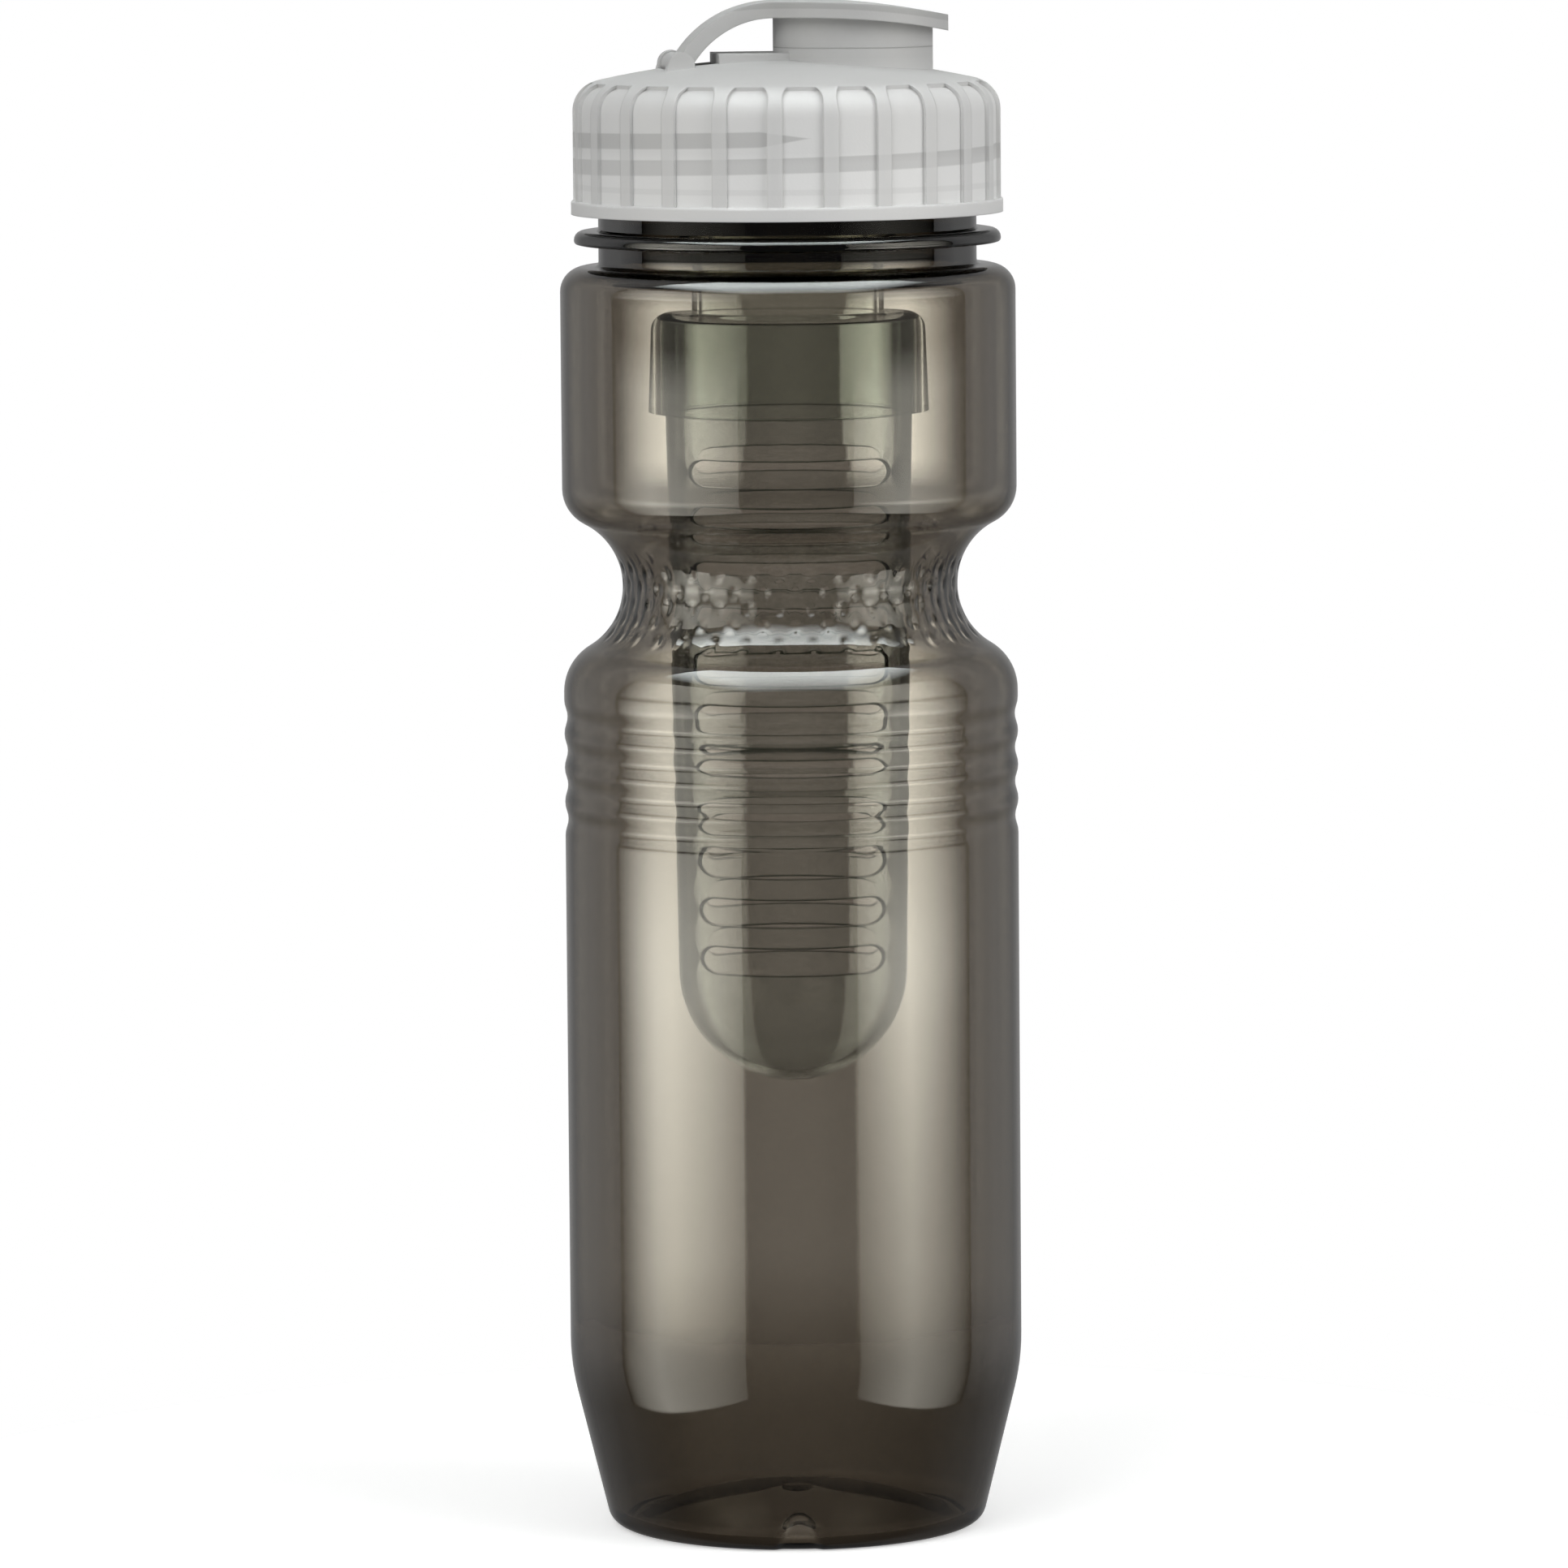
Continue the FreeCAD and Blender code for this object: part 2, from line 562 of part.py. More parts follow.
# The flutes are the hollow between the ribs' envelope and the skirt, seen through a ring of arches.
flute_ring = new_body("flute_ring")
revolve(
    flute_ring,
    "flute_hollow",
    [
        ("flute_floor", "flange_top"),
        ("cap_radius + flute_depth", "flange_top"),
        ("cap_radius + flute_depth", "corner_level + crown_corner * sin(flute_end)"),
        (
            "corner_center + 1.1 * crown_corner * cos(flute_end)",
            "corner_level + 1.1 * crown_corner * sin(flute_end)",
        ),
        (
            "corner_center + (crown_corner - flute_depth) * cos(flute_end)",
            "corner_level + (crown_corner - flute_depth) * sin(flute_end)",
        ),
        ("flute_floor", "corner_level", "crown_corner - flute_depth", -1),
    ],
)
arches = new_body("flute_arches")
arches.AllowCompound = True
arches.Placement.Rotation = FreeCAD.Rotation(FreeCAD.Vector(0, 0, 1), number("flute_phase"))
bind(arches, "Placement.Rotation.Angle", "flute_phase")
arch_sketch = add_sketch(arches, "arch_outline", "XZ_Plane", "0.8 * corner_center")
draw_outline(
    arch_sketch,
    [
        ("-flute_width / 2", "flange_top"),
        ("flute_width / 2", "flange_top"),
        ("flute_width / 2", "corner_level + crown_corner - flute_round"),
        ("flute_width / 2 - flute_round", "corner_level + crown_corner", "flute_round", 1),
        ("flute_round - flute_width / 2", "corner_level + crown_corner"),
        ("-flute_width / 2", "corner_level + crown_corner - flute_round", "flute_round", 1),
    ],
)
arch = extrude(arches, "arch", "Pad", arch_sketch, "cap_radius - 0.6 * corner_center")
around = arches.newObject("PartDesign::PolarPattern", "arches_around")
around.Originals = [arch]
around.Axis = ([item for item in arches.Origin.OriginFeatures if item.Role == "Z_Axis"][0], [""])
around.Angle = 360
bind(around, "Occurrences", "flute_count")
arches.Tip = around
doc.recompute()
flutes = doc.addObject("Part::Common", "flutes")
flutes.Base = flute_ring
flutes.Tool = arches
doc.recompute()
if len(flutes.Shape.Solids) != int(round(number("flute_count"))):
    raise RuntimeError(f"the ring has {len(flutes.Shape.Solids)} flutes")
screw_cap = doc.addObject("Part::Cut", "screw_cap")
screw_cap.Base = cap
screw_cap.Tool = flutes
doc.recompute()

lid = new_body("flip_lid")
strip_sketch = add_sketch(lid, "strip_outline", "XZ_Plane")
draw_outline(
    strip_sketch,
    [
        (
            "bend_center - sqrt((lid_bend - lid_thickness)^2 - (hinge_level - bend_level)^2)",
            "hinge_level",
        ),
        (
            "bend_center + (lid_bend - lid_thickness) * bend_across",
            "bend_level + (lid_bend - lid_thickness) * bend_up",
            "lid_bend - lid_thickness",
            -1,
        ),
        (
            "lid_reach",
            "arch_center + sqrt((lid_arch - lid_thickness)^2 - (lid_reach - lid_crest)^2)",
            "lid_arch - lid_thickness",
            -1,
        ),
        ("lid_reach", "arch_center + sqrt(lid_arch^2 - (lid_reach - lid_crest)^2)"),
        ("-bend_start", "arch_center + lid_arch * bend_up", "lid_arch", 1),
        ("bend_center - sqrt(lid_bend^2 - (hinge_level - bend_level)^2)", "hinge_level", "lid_bend", 1),
    ],
)
extrude(lid, "strip", "Pad", strip_sketch, "2 * lid_radius", True)
spoon_sketch = add_sketch(lid, "spoon_outline", "XY_Plane", "lid_top + lid_thickness")
draw_box(spoon_sketch, "-2 * lid_tail", "2 * lid_reach", "-2 * lid_radius", "2 * lid_radius")
draw_outline(
    spoon_sketch,
    [
        ("-lid_tail", "-arm_width / 2"),
        ("spout_offset - flare_reach", "-arm_width / 2"),
        ("spout_offset - flare_share * flare_reach", "-flare_share * flare_center", "arm_flare", -1),
        ("spout_offset", "-lid_radius", "lid_radius", 1),
        ("spout_offset + lid_radius", "0", "lid_radius", 1),
        ("spout_offset", "lid_radius", "lid_radius", 1),
        ("spout_offset - flare_share * flare_reach", "flare_share * flare_center", "lid_radius", 1),
        ("spout_offset - flare_reach", "arm_width / 2", "arm_flare", -1),
        ("-lid_tail", "arm_width / 2"),
    ],
)
extrude(lid, "spoon", "Pocket", spoon_sketch, "lid_top + 2 * lid_thickness - hinge_level")
skirt_sketch = add_sketch(lid, "lid_skirt_outline", "XY_Plane", "lid_skirt_base")
draw_circle(skirt_sketch, "spout_offset", "0", "seat_radius")
draw_circle(skirt_sketch, "spout_offset", "0", "seat_radius - lid_skirt_wall")
extrude(lid, "lid_skirt", "Pad", skirt_sketch, "lid_core - lid_skirt_base")
core_sketch = add_sketch(lid, "lid_core_outline", "XY_Plane", "lid_ceiling")
draw_circle(core_sketch, "spout_offset", "0", "seat_radius")
extrude(lid, "lid_core", "Pad", core_sketch, "lid_core - lid_ceiling")
stopper = lid.newObject("PartDesign::AdditiveCone", "stopper")
stopper.AttachmentSupport = [(core_sketch, "")]
stopper.MapMode = "ObjectXY"
stopper.AttachmentOffset = FreeCAD.Placement(FreeCAD.Vector(1, 0, -1), FreeCAD.Rotation())
bind(stopper, "AttachmentOffset.Base.x", "spout_offset")
bind(stopper, "AttachmentOffset.Base.z", "stopper_base - lid_ceiling")
bind(stopper, "Radius1", "stopper_top - stopper_taper")
bind(stopper, "Radius2", "stopper_top")
bind(stopper, "Height", "lid_ceiling - stopper_base")
doc.recompute()
hollow_sketch = add_sketch(lid, "stopper_hollow_outline", "XY_Plane", "stopper_base")
draw_circle(hollow_sketch, "spout_offset", "0", "stopper_top - stopper_taper - stopper_wall")
extrude(lid, "stopper_hollow", "Pocket", hollow_sketch, "lid_ceiling - stopper_base", reversed=True)
knuckle_sketch = add_sketch(lid, "knuckle_outline", "XZ_Plane")
draw_circle(knuckle_sketch, "-hinge_offset", "hinge_level", "knuckle_radius")
extrude(lid, "knuckle", "Pad", knuckle_sketch, "arm_width", True)
pin_sketch = add_sketch(lid, "pin_outline", "XZ_Plane")
draw_circle(pin_sketch, "-hinge_offset", "hinge_level", "pin_radius")
extrude(lid, "hinge_pin", "Pad", pin_sketch, "pin_length", True)

seal = new_body("collar_seal")
seal_sketch = add_sketch(seal, "seal_section_outline", "XZ_Plane")
draw_circle(seal_sketch, "seal_center", "seal_level", "seal_section")
seal_ring = seal.newObject("PartDesign::Revolution", "seal_ring")
seal_ring.Profile = seal_sketch
seal_ring.ReferenceAxis = (seal_sketch, ["V_Axis"])
seal_ring.Angle = 360
doc.recompute()

collar = new_body("infuser_collar")
revolve(
    collar,
    "collar_bell",
    [
        ("collar_bore", "collar_base"),
        ("collar_radius + collar_flare", "collar_base"),
        ("collar_radius", "collar_top - collar_round"),
        ("collar_radius - collar_round", "collar_top", "collar_round", 1),
        ("neck_tube", "collar_top"),
        ("neck_tube", "neck_tube_top"),
        ("neck_tube_bore", "neck_tube_top"),
        ("neck_tube_bore", "collar_ceiling"),
        ("collar_bore", "collar_ceiling"),
    ],
)

basket = new_body("infuser_basket")
revolve(
    basket,
    "basket_shell",
    [
        ("0", "end_level - basket_end"),
        ("basket_end", "end_level", "basket_end", 1),
        ("basket_radius", "basket_shoulder"),
        ("basket_rim", "basket_shoulder"),
        ("basket_rim", "collar_ceiling"),
        ("basket_radius - basket_wall", "collar_ceiling"),
        ("basket_radius - basket_wall", "basket_shoulder"),
        ("basket_end - basket_wall", "end_level"),
        ("0", "end_level - basket_end + basket_wall", "basket_end - basket_wall", -1),
    ],
)
slot_sketch = add_sketch(basket, "slot_outlines", "XZ_Plane", turn="slot_turn")
for slot in range(int(round(number("slot_count")))):
    level = f"(collar_base - slot_first - {slot} * slot_pitch)"
    tip = f"(slot_top_length - {slot} * slot_shrink) / 2"
    draw_outline(
        slot_sketch,
        [
            (f"{tip} - slot_end", f"{level} - slot_end"),
            (tip, level, "slot_end", 1),
            (f"{tip} - slot_end", f"{level} + slot_end", "slot_end", 1),
            (f"slot_end - {tip}", f"{level} + slot_end"),
            (f"-{tip}", level, "slot_end", 1),
            (f"slot_end - {tip}", f"{level} - slot_end", "slot_end", 1),
        ],
    )
extrude(basket, "slots", "Pocket", slot_sketch, "4 * basket_rim", True)

os.makedirs("parts", exist_ok=True)
for piece in (*zones, gasket, screw_cap, lid, seal, collar, basket):
    shape = piece.Shape
    if "Invalid" in piece.State or shape.isNull() or not shape.isValid() or len(shape.Solids) != 1:
        raise RuntimeError(f"{piece.Label} is not one sound solid: {piece.State}")
    shape.exportStep(f"parts/{piece.Label}.step")
for item in doc.Objects:
    if "Invalid" in item.State or "Error" in item.State:
        raise RuntimeError(f"{item.Label} did not recompute")
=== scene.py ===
"""Looks of a fruit infuser water bottle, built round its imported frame."""

import math

import bmesh
import bpy
from bpy.props import FloatProperty, FloatVectorProperty, IntProperty, PointerProperty
from mathutils import Matrix, Vector


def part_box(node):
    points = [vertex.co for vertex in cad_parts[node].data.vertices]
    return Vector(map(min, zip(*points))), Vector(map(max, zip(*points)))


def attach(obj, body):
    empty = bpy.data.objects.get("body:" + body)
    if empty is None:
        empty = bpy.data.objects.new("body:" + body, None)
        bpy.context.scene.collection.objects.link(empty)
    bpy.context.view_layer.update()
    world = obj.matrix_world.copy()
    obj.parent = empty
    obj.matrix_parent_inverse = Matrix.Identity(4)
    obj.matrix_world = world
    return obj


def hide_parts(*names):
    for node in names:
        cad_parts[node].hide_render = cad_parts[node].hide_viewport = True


bl_info = {
    "name": "Infuser bottle looks",
    "version": (1, 0, 0),
    "blender": (4, 5, 0),
    "location": "View3D > Sidebar > Bottle",
    "description": "Dresses the packed frame of a fruit infuser water bottle",
    "category": "Object",
}

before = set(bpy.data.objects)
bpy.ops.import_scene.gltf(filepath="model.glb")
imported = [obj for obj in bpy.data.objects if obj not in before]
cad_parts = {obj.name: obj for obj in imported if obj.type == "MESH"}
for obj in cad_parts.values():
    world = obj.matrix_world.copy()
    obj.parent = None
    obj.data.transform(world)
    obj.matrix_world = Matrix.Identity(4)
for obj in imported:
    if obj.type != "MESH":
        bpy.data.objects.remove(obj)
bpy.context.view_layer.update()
MM = 0.001
BODY_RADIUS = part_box("bottle_body")[1].x / MM
RIM_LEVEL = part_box("bottle_neck")[1].z / MM
CAP_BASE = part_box("screw_cap")[0].z / MM
NECK_RADIUS = 30.3
CAP_BORE = 31.7
THREAD_LEVEL = 217.8
DIMPLE_LEVEL = 143.7
BOTTLE_NODES = ("bottle_heel", "bottle_body", "bottle_waist", "bottle_neck")


class BottleSizes(bpy.types.PropertyGroup):
    """Sizes of the blown bottle and its thread, lengths in millimetres."""

    segments: IntProperty(name="Segments", description="Faces round the axis", default=340)
    wall: FloatProperty(name="Wall", description="Wall of the bottle", default=1.1)
    dimple_count: IntProperty(name="Dimples", description="Dimples in one row of the waist", default=34)
    dimple_rows: IntProperty(name="Rows", description="Rows of dimples", default=5)
    dimple_pitch: FloatProperty(name="Row pitch", description="Height of a row", default=2.67)
    dimple_depth: FloatProperty(name="Depth", description="Depth of a dimple", default=0.25)
    notch_turn: FloatProperty(name="Notch turn", description="Place of the notch, in turns", default=0.732)
    notch_width: FloatProperty(name="Notch width", description="Width of the notch at the foot", default=7.6)
    notch_top: FloatProperty(name="Notch top", description="Height of the notch", default=6.4)
    notch_depth: FloatProperty(name="Notch depth", description="Depth of the notch", default=0.9)
    thread_pitch: FloatProperty(name="Thread pitch", description="Rise of one turn", default=4.2)
    thread_turns: FloatProperty(name="Thread turns", description="Turns of the neck thread", default=1.6)


def colour_property(name, description, default):
    """Colour that a user may change."""
    return FloatVectorProperty(name=name, description=description, subtype="COLOR", size=3, default=default)


class Finishes(bpy.types.PropertyGroup):
    """Colours and depth of tint of the plastics."""

    smoke: colour_property("Smoke", "Tint of the bottle", (0.20, 0.141, 0.054))
    smoke_density: FloatProperty(name="Smoke depth", description="Absorption per metre", default=1200.0)
    frosted: colour_property("Frosted", "Cap and lid", (0.62, 0.62, 0.615))
    clear: colour_property("Clear", "Tint of the basket", (0.30, 0.42, 0.36))
    clear_density: FloatProperty(name="Clear depth", description="Absorption per metre", default=140.0)
    # Painted shade: dark green drawn along the edges of the clear basket.
    edge: colour_property("Edge", "Edges of the clear plastic", (0.10, 0.15, 0.10))
    film: colour_property("Film", "Natural plastic of the collar", (0.95, 0.97, 0.94))
    silicone: colour_property("Silicone", "Seals", (0.75, 0.75, 0.73))


class StageSettings(bpy.types.PropertyGroup):
    """Camera and light."""

    camera_turn: FloatProperty(name="Turn", description="Camera round the bottle, degrees", default=-7.0)
    camera_distance: FloatProperty(name="Distance", unit="LENGTH", description="Camera to axis", default=1.6)
    camera_height: FloatProperty(name="Height", unit="LENGTH", description="Camera over floor", default=0.285)
    camera_roll: FloatProperty(name="Roll", description="Camera roll, degrees", default=-0.46)
    lens: FloatProperty(name="Lens", description="Focal length in mm", default=229.25)
    aim_height: FloatProperty(name="Aim", unit="LENGTH", description="Height at the centre", default=0.120)
    aim_side: FloatProperty(name="Aside", unit="LENGTH", description="Axis right of centre", default=0.00124)
    left_panel: FloatProperty(name="Left panel", description="Brightness of the left panel", default=8.2)
    right_panel: FloatProperty(name="Right panel", description="Brightness of the right panel", default=7.6)
    top_panel: FloatProperty(name="Top panel", description="Brightness of the panel overhead", default=11.0)
    back_panel: FloatProperty(name="Back panel", description="Brightness of the sheet behind", default=3.8)
    key_power: FloatProperty(name="Key", unit="POWER", description="Power of each soft lamp", default=13.0)


class Wire:
    """A node's output that takes part in Python sums."""

    def __init__(self, graph, socket):
        self.graph = graph
        self.socket = socket

    def math(self, operation, *others, swap=False):
        operands = [self, *others]
        if swap:
            operands.reverse()
        node = self.graph.add("ShaderNodeMath", {"operation": operation})
        for slot, value in zip(node.inputs, operands):
            self.graph.feed(slot, value)
        return Wire(self.graph, node.outputs[0])

    def __add__(self, other):
        return self.math("ADD", other)

    __radd__ = __add__

    def __mul__(self, other):
        return self.math("MULTIPLY", other)

    __rmul__ = __mul__

    def __sub__(self, other):
        return self.math("SUBTRACT", other)

    def __rsub__(self, other):
        return self.math("SUBTRACT", other, swap=True)

    def __truediv__(self, other):
        return self.math("DIVIDE", other)


class Graph:
    """A node tree with one way to add any node."""

    def __init__(self, tree):
        self.tree = tree

    def feed(self, slot, value):
        if isinstance(value, Wire):
            self.tree.links.new(value.socket, slot)
        else:
            slot.default_value = value

    def add(self, kind, settings=None, inputs=None):
        node = self.tree.nodes.new(kind)
        for key, value in (settings or {}).items():
            setattr(node, key, value)
        for key, value in (inputs or {}).items():
            self.feed(node.inputs[key], value)
        return node

    def wire(self, node, output=0):
        return Wire(self, node.outputs[output])


def clamped(value, start, end):
    """Zero before start, one after end, straight between."""
    return ((value - start) / (end - start)).math("MAXIMUM", 0.0).math("MINIMUM", 1.0)


class Outline:
    """A turned outline in mm, drawn with lines and arcs; facet is the length of a step."""

    def __init__(self, radius, level, facet):
        self.points = [(radius, level)]
        self.facet = facet

    def line(self, radius, level, facet=None):
        start = self.points[-1]
        length = math.dist(start, (radius, level))
        count = max(1, round(length / (facet or self.facet)))
        for index in range(1, count + 1):
            share = index / count
            across, up = (radius - start[0]) * share, (level - start[1]) * share
            self.points.append((start[0] + across, start[1] + up))
        return self

    def arc(self, radius, level, bend, side, facet=None):
        start = self.points[-1]
        dx, dz = radius - start[0], level - start[1]
        chord = math.hypot(dx, dz)
        reach = side * math.sqrt(max(bend * bend - chord * chord / 4, 0.0)) / chord
        cx = (start[0] + radius) / 2 - dz * reach
        cz = (start[1] + level) / 2 + dx * reach
        first = math.atan2(start[1] - cz, start[0] - cx)
        turn = 2 * math.asin(min(1.0, chord / (2 * bend))) * side
        count = max(2, round(abs(turn) * bend / (facet or self.facet)))
        for index in range(1, count + 1):
            angle = first + turn * index / count
            self.points.append((cx + bend * math.cos(angle), cz + bend * math.sin(angle)))
        return self


class BottleShape:
    """Radii, levels and bends of the blown bottle in mm: driving sizes first, then what follows from them."""

    foot = 27.7
    foot_inner = 24.5
    foot_fillet = 3.0
    lip = 0.6
    lip_rise = 0.35
    pushup = 5.0
    gate = 2.5
    gate_round = 0.3
    gate_drop = 0.9
    gate_root = 0.1
    heel = 26.2
    heel_soft = 4.5
    fine_cone = 5.0
    rings = 112.05
    ring_pitch = 5.5
    ring_depth = 0.5
    ring_count = 4
    ring_gap = 1.25
    waist = 26.9
    waist_bend = 11.5
    bend_below = 8.35
    bend_above = 6.2
    chest_height = 31.6
    shoulder_bend = 4.0
    neck_bore = 28.1
    neck_fillet = 0.8
    rim_edge = 0.4
    carry_rise = 7.6
    carry_ring = 34.2
    carry_height = 2.1
    carry_low = 0.5
    carry_top = 1.4
    carry_root = 0.3
    floor = 1.1
    floor_dip = 0.2
    bowl = 3.2
    heel_extra = 0.6
    thick_rise = 14.0

    def __init__(self, wall):
        self.wall = wall
        self.inside = BODY_RADIUS - wall
        self.base_bend = (self.foot_inner**2 + self.pushup**2) / (2 * self.pushup)
        run, climb = BODY_RADIUS - self.foot, self.heel - self.foot_fillet
        tilt = math.acos(self.foot_fillet / math.hypot(run, climb)) - math.atan2(climb, run)
        self.cone_radius = self.foot + self.foot_fillet * math.cos(tilt)
        self.cone_level = self.foot_fillet - self.foot_fillet * math.sin(tilt)
        self.lean = math.atan2(BODY_RADIUS - self.cone_radius, self.heel - self.cone_level)
        self.ring_bend = (self.ring_pitch**2 / 16 + self.ring_depth**2 / 4) / self.ring_depth
        self.rings_top = self.rings + self.ring_count * self.ring_pitch
        self.band = self.rings_top + self.ring_gap
        self.reach = self.waist + self.waist_bend - BODY_RADIUS
        self.waist_level = self.band + self.rise(self.bend_below)
        self.chest = self.waist_level + self.rise(self.bend_above)
        self.shoulder = self.chest + self.chest_height
        self.top = self.shoulder + self.shoulder_bend

    def rise(self, bend):
        """Height from the middle of a bend of the body to the middle of the waist."""
        return math.sqrt((self.waist_bend + bend) ** 2 - (self.reach + bend) ** 2)

    def touch(self, bend, level, inset=0.0):
        """Where a bend of the body, whose middle is at a level, meets the hollow of the waist."""
        share = (bend - inset) / (bend + self.waist_bend)
        return BODY_RADIUS - bend + share * (self.reach + bend), level + share * (self.waist_level - level)

    def ring_joints(self):
        """Inset and level of the places where the arcs of the grip rings meet, from below."""
        waves = [
            (self.ring_depth / 2, self.rings + (2 * index + 1) * self.ring_pitch / 4)
            for index in range(2 * self.ring_count)
        ]
        return [(0.0, self.rings), *waves, (0.0, self.rings_top)]

    def inner_heel(self, level, thicker):
        """Radius of the inside at a level of the heel, whose wall is thicker by a share of the extra."""
        bent = min(max(self.heel + self.heel_soft - level, 0.0), 2 * self.heel_soft)
        straight = max(self.heel - self.heel_soft - level, 0.0)
        inward = math.tan(self.lean) * (bent * bent / (4 * self.heel_soft) + straight)
        return self.inside - inward - self.heel_extra * thicker * thicker * (3 - 2 * thicker)


def outer_base(shell, shape):
    """Base with the mark of the mould, standing ring, tapered heel and straight body."""
    shell.line(shape.gate - shape.gate_round, shape.pushup - shape.gate_drop)
    gate_level = shape.pushup - shape.gate_drop + shape.gate_round
    shell.arc(shape.gate, gate_level, shape.gate_round, 1, facet=0.15)
    shell.line(shape.gate, shape.pushup - shape.gate_root, facet=0.3)
    shell.arc(shape.foot_inner - shape.lip, shape.lip_rise, shape.base_bend, -1, facet=3.0)
    shell.line(shape.foot_inner, 0.0, facet=0.3)
    shell.line(shape.foot, 0.0)
    shell.arc(shape.cone_radius, shape.cone_level, shape.foot_fillet, 1, facet=0.6)
    fine_radius = shape.cone_radius + shape.fine_cone * math.tan(shape.lean)
    shell.line(fine_radius, shape.cone_level + shape.fine_cone, facet=0.8)
    heel_radius = BODY_RADIUS - shape.heel_soft * math.sin(shape.lean)
    shell.line(heel_radius, shape.heel - shape.heel_soft * math.cos(shape.lean), facet=9.0)
    heel_bend = shape.heel_soft / math.tan(shape.lean / 2)
    shell.arc(BODY_RADIUS, shape.heel + shape.heel_soft, heel_bend, 1, facet=1.5)
    shell.line(BODY_RADIUS, shape.rings, facet=30.0)


def outer_waist(shell, shape):
    """Grip rings, waist, chest and shoulder."""
    for index, (inset, level) in enumerate(shape.ring_joints()[1:]):
        shell.arc(BODY_RADIUS - inset, level, shape.ring_bend, 1 if index % 2 == 0 else -1, facet=0.7)
    shell.line(BODY_RADIUS, shape.band, facet=0.6)
    shell.arc(*shape.touch(shape.bend_below, shape.band), shape.bend_below, 1, facet=0.8)
    shell.arc(*shape.touch(shape.bend_above, shape.chest), shape.waist_bend, -1, facet=0.45)
    shell.arc(BODY_RADIUS, shape.chest, shape.bend_above, 1, facet=0.8)
    shell.line(BODY_RADIUS, shape.shoulder, facet=20.0)
    shell.arc(BODY_RADIUS - shape.shoulder_bend, shape.top, shape.shoulder_bend, 1, facet=0.6)


def neck_and_rim(shell, shape):
    """Neck with its carry ring, the rim and the bore."""
    shell.line(NECK_RADIUS + shape.neck_fillet, shape.top)
    shell.arc(NECK_RADIUS, shape.top + shape.neck_fillet, shape.neck_fillet, -1, facet=0.4)
    low = shape.shoulder + shape.carry_rise
    high = low + shape.carry_height
    root = NECK_RADIUS + shape.carry_root
    shell.line(NECK_RADIUS, low - shape.carry_root).line(root, low, facet=0.2)
    shell.line(shape.carry_ring - shape.carry_low, low)
    shell.arc(shape.carry_ring, low + shape.carry_low, shape.carry_low, 1, facet=0.3)
    shell.line(shape.carry_ring, high - shape.carry_top, facet=0.4)
    shell.arc(shape.carry_ring - shape.carry_top, high, shape.carry_top, 1, facet=0.4)
    shell.line(root, high).line(NECK_RADIUS, high + shape.carry_root, facet=0.3)
    edge = RIM_LEVEL - shape.rim_edge
    shell.line(NECK_RADIUS, edge, facet=12.0).line(NECK_RADIUS - shape.rim_edge, RIM_LEVEL, facet=0.3)
    shell.line(shape.neck_bore + shape.rim_edge, RIM_LEVEL, facet=1.0).line(shape.neck_bore, edge, facet=0.3)
    ceiling = shape.top - shape.wall
    shell.line(shape.neck_bore, ceiling - shape.neck_fillet, facet=12.0)
    shell.arc(shape.neck_bore + shape.neck_fillet, ceiling, shape.neck_fillet, -1, facet=0.4)


def inner_wall(shell, shape):
    """Inside of the shoulder, waist, rings, heel and base."""
    wall, inside = shape.wall, shape.inside
    shell.line(BODY_RADIUS - shape.shoulder_bend, shape.top - wall)
    shell.arc(inside, shape.shoulder, shape.shoulder_bend - wall, -1, facet=0.9)
    shell.line(inside, shape.chest, facet=20.0)
    shell.arc(*shape.touch(shape.bend_above, shape.chest, wall), shape.bend_above - wall, -1, facet=1.3)
    shell.arc(*shape.touch(shape.bend_below, shape.band, wall), shape.waist_bend + wall, 1, facet=1.3)
    shell.arc(inside, shape.band, shape.bend_below - wall, -1, facet=1.0)
    shell.line(inside, shape.rings_top, facet=1.3)
    for index, (inset, level) in reversed(list(enumerate(shape.ring_joints()[:-1]))):
        shell.arc(inside - inset, level, shape.ring_bend, -1 if index % 2 == 0 else 1, facet=1.5)
    start, end = shape.heel + shape.thick_rise, shape.bowl + shape.floor
    shell.line(inside, start, facet=30.0)
    rows, thick_rows = 16, 9
    for index in range(1, rows + 1):
        level = start - index * (start - end) / rows
        radius = shape.inner_heel(level, min(1.0, index / thick_rows))
        shell.points.append((radius, level))
    corner = radius - shape.bowl * math.cos(shape.lean)
    shell.arc(corner, shape.floor + shape.floor_dip, shape.bowl, -1, facet=0.8)
    shell.arc(0.0, shape.pushup + shape.floor, shape.base_bend, 1, facet=4.0)


def bottle_outline(wall):
    """Outer and inner outline of the blown bottle, from the middle of the base and back to it."""
    shape = BottleShape(wall)
    shell = Outline(0.0, shape.pushup - shape.gate_drop, facet=1.6)
    for section in (outer_base, outer_waist, neck_and_rim, inner_wall):
        section(shell, shape)
    return shell.points


def new_tree(name, sizes):
    """Geometry tree that takes an outline, its counts, a finish and further sizes by name."""
    tree = bpy.data.node_groups.new(name, "GeometryNodeTree")
    inputs = {"Outline": "Geometry", "Points": "Int", "Segments": "Int", **sizes, "Finish": "Material"}
    for label, kind in inputs.items():
        tree.interface.new_socket(label, in_out="INPUT", socket_type="NodeSocket" + kind)
    tree.interface.new_socket("Shape", in_out="OUTPUT", socket_type="NodeSocketGeometry")
    graph = Graph(tree)
    return graph, graph.add("NodeGroupInput")


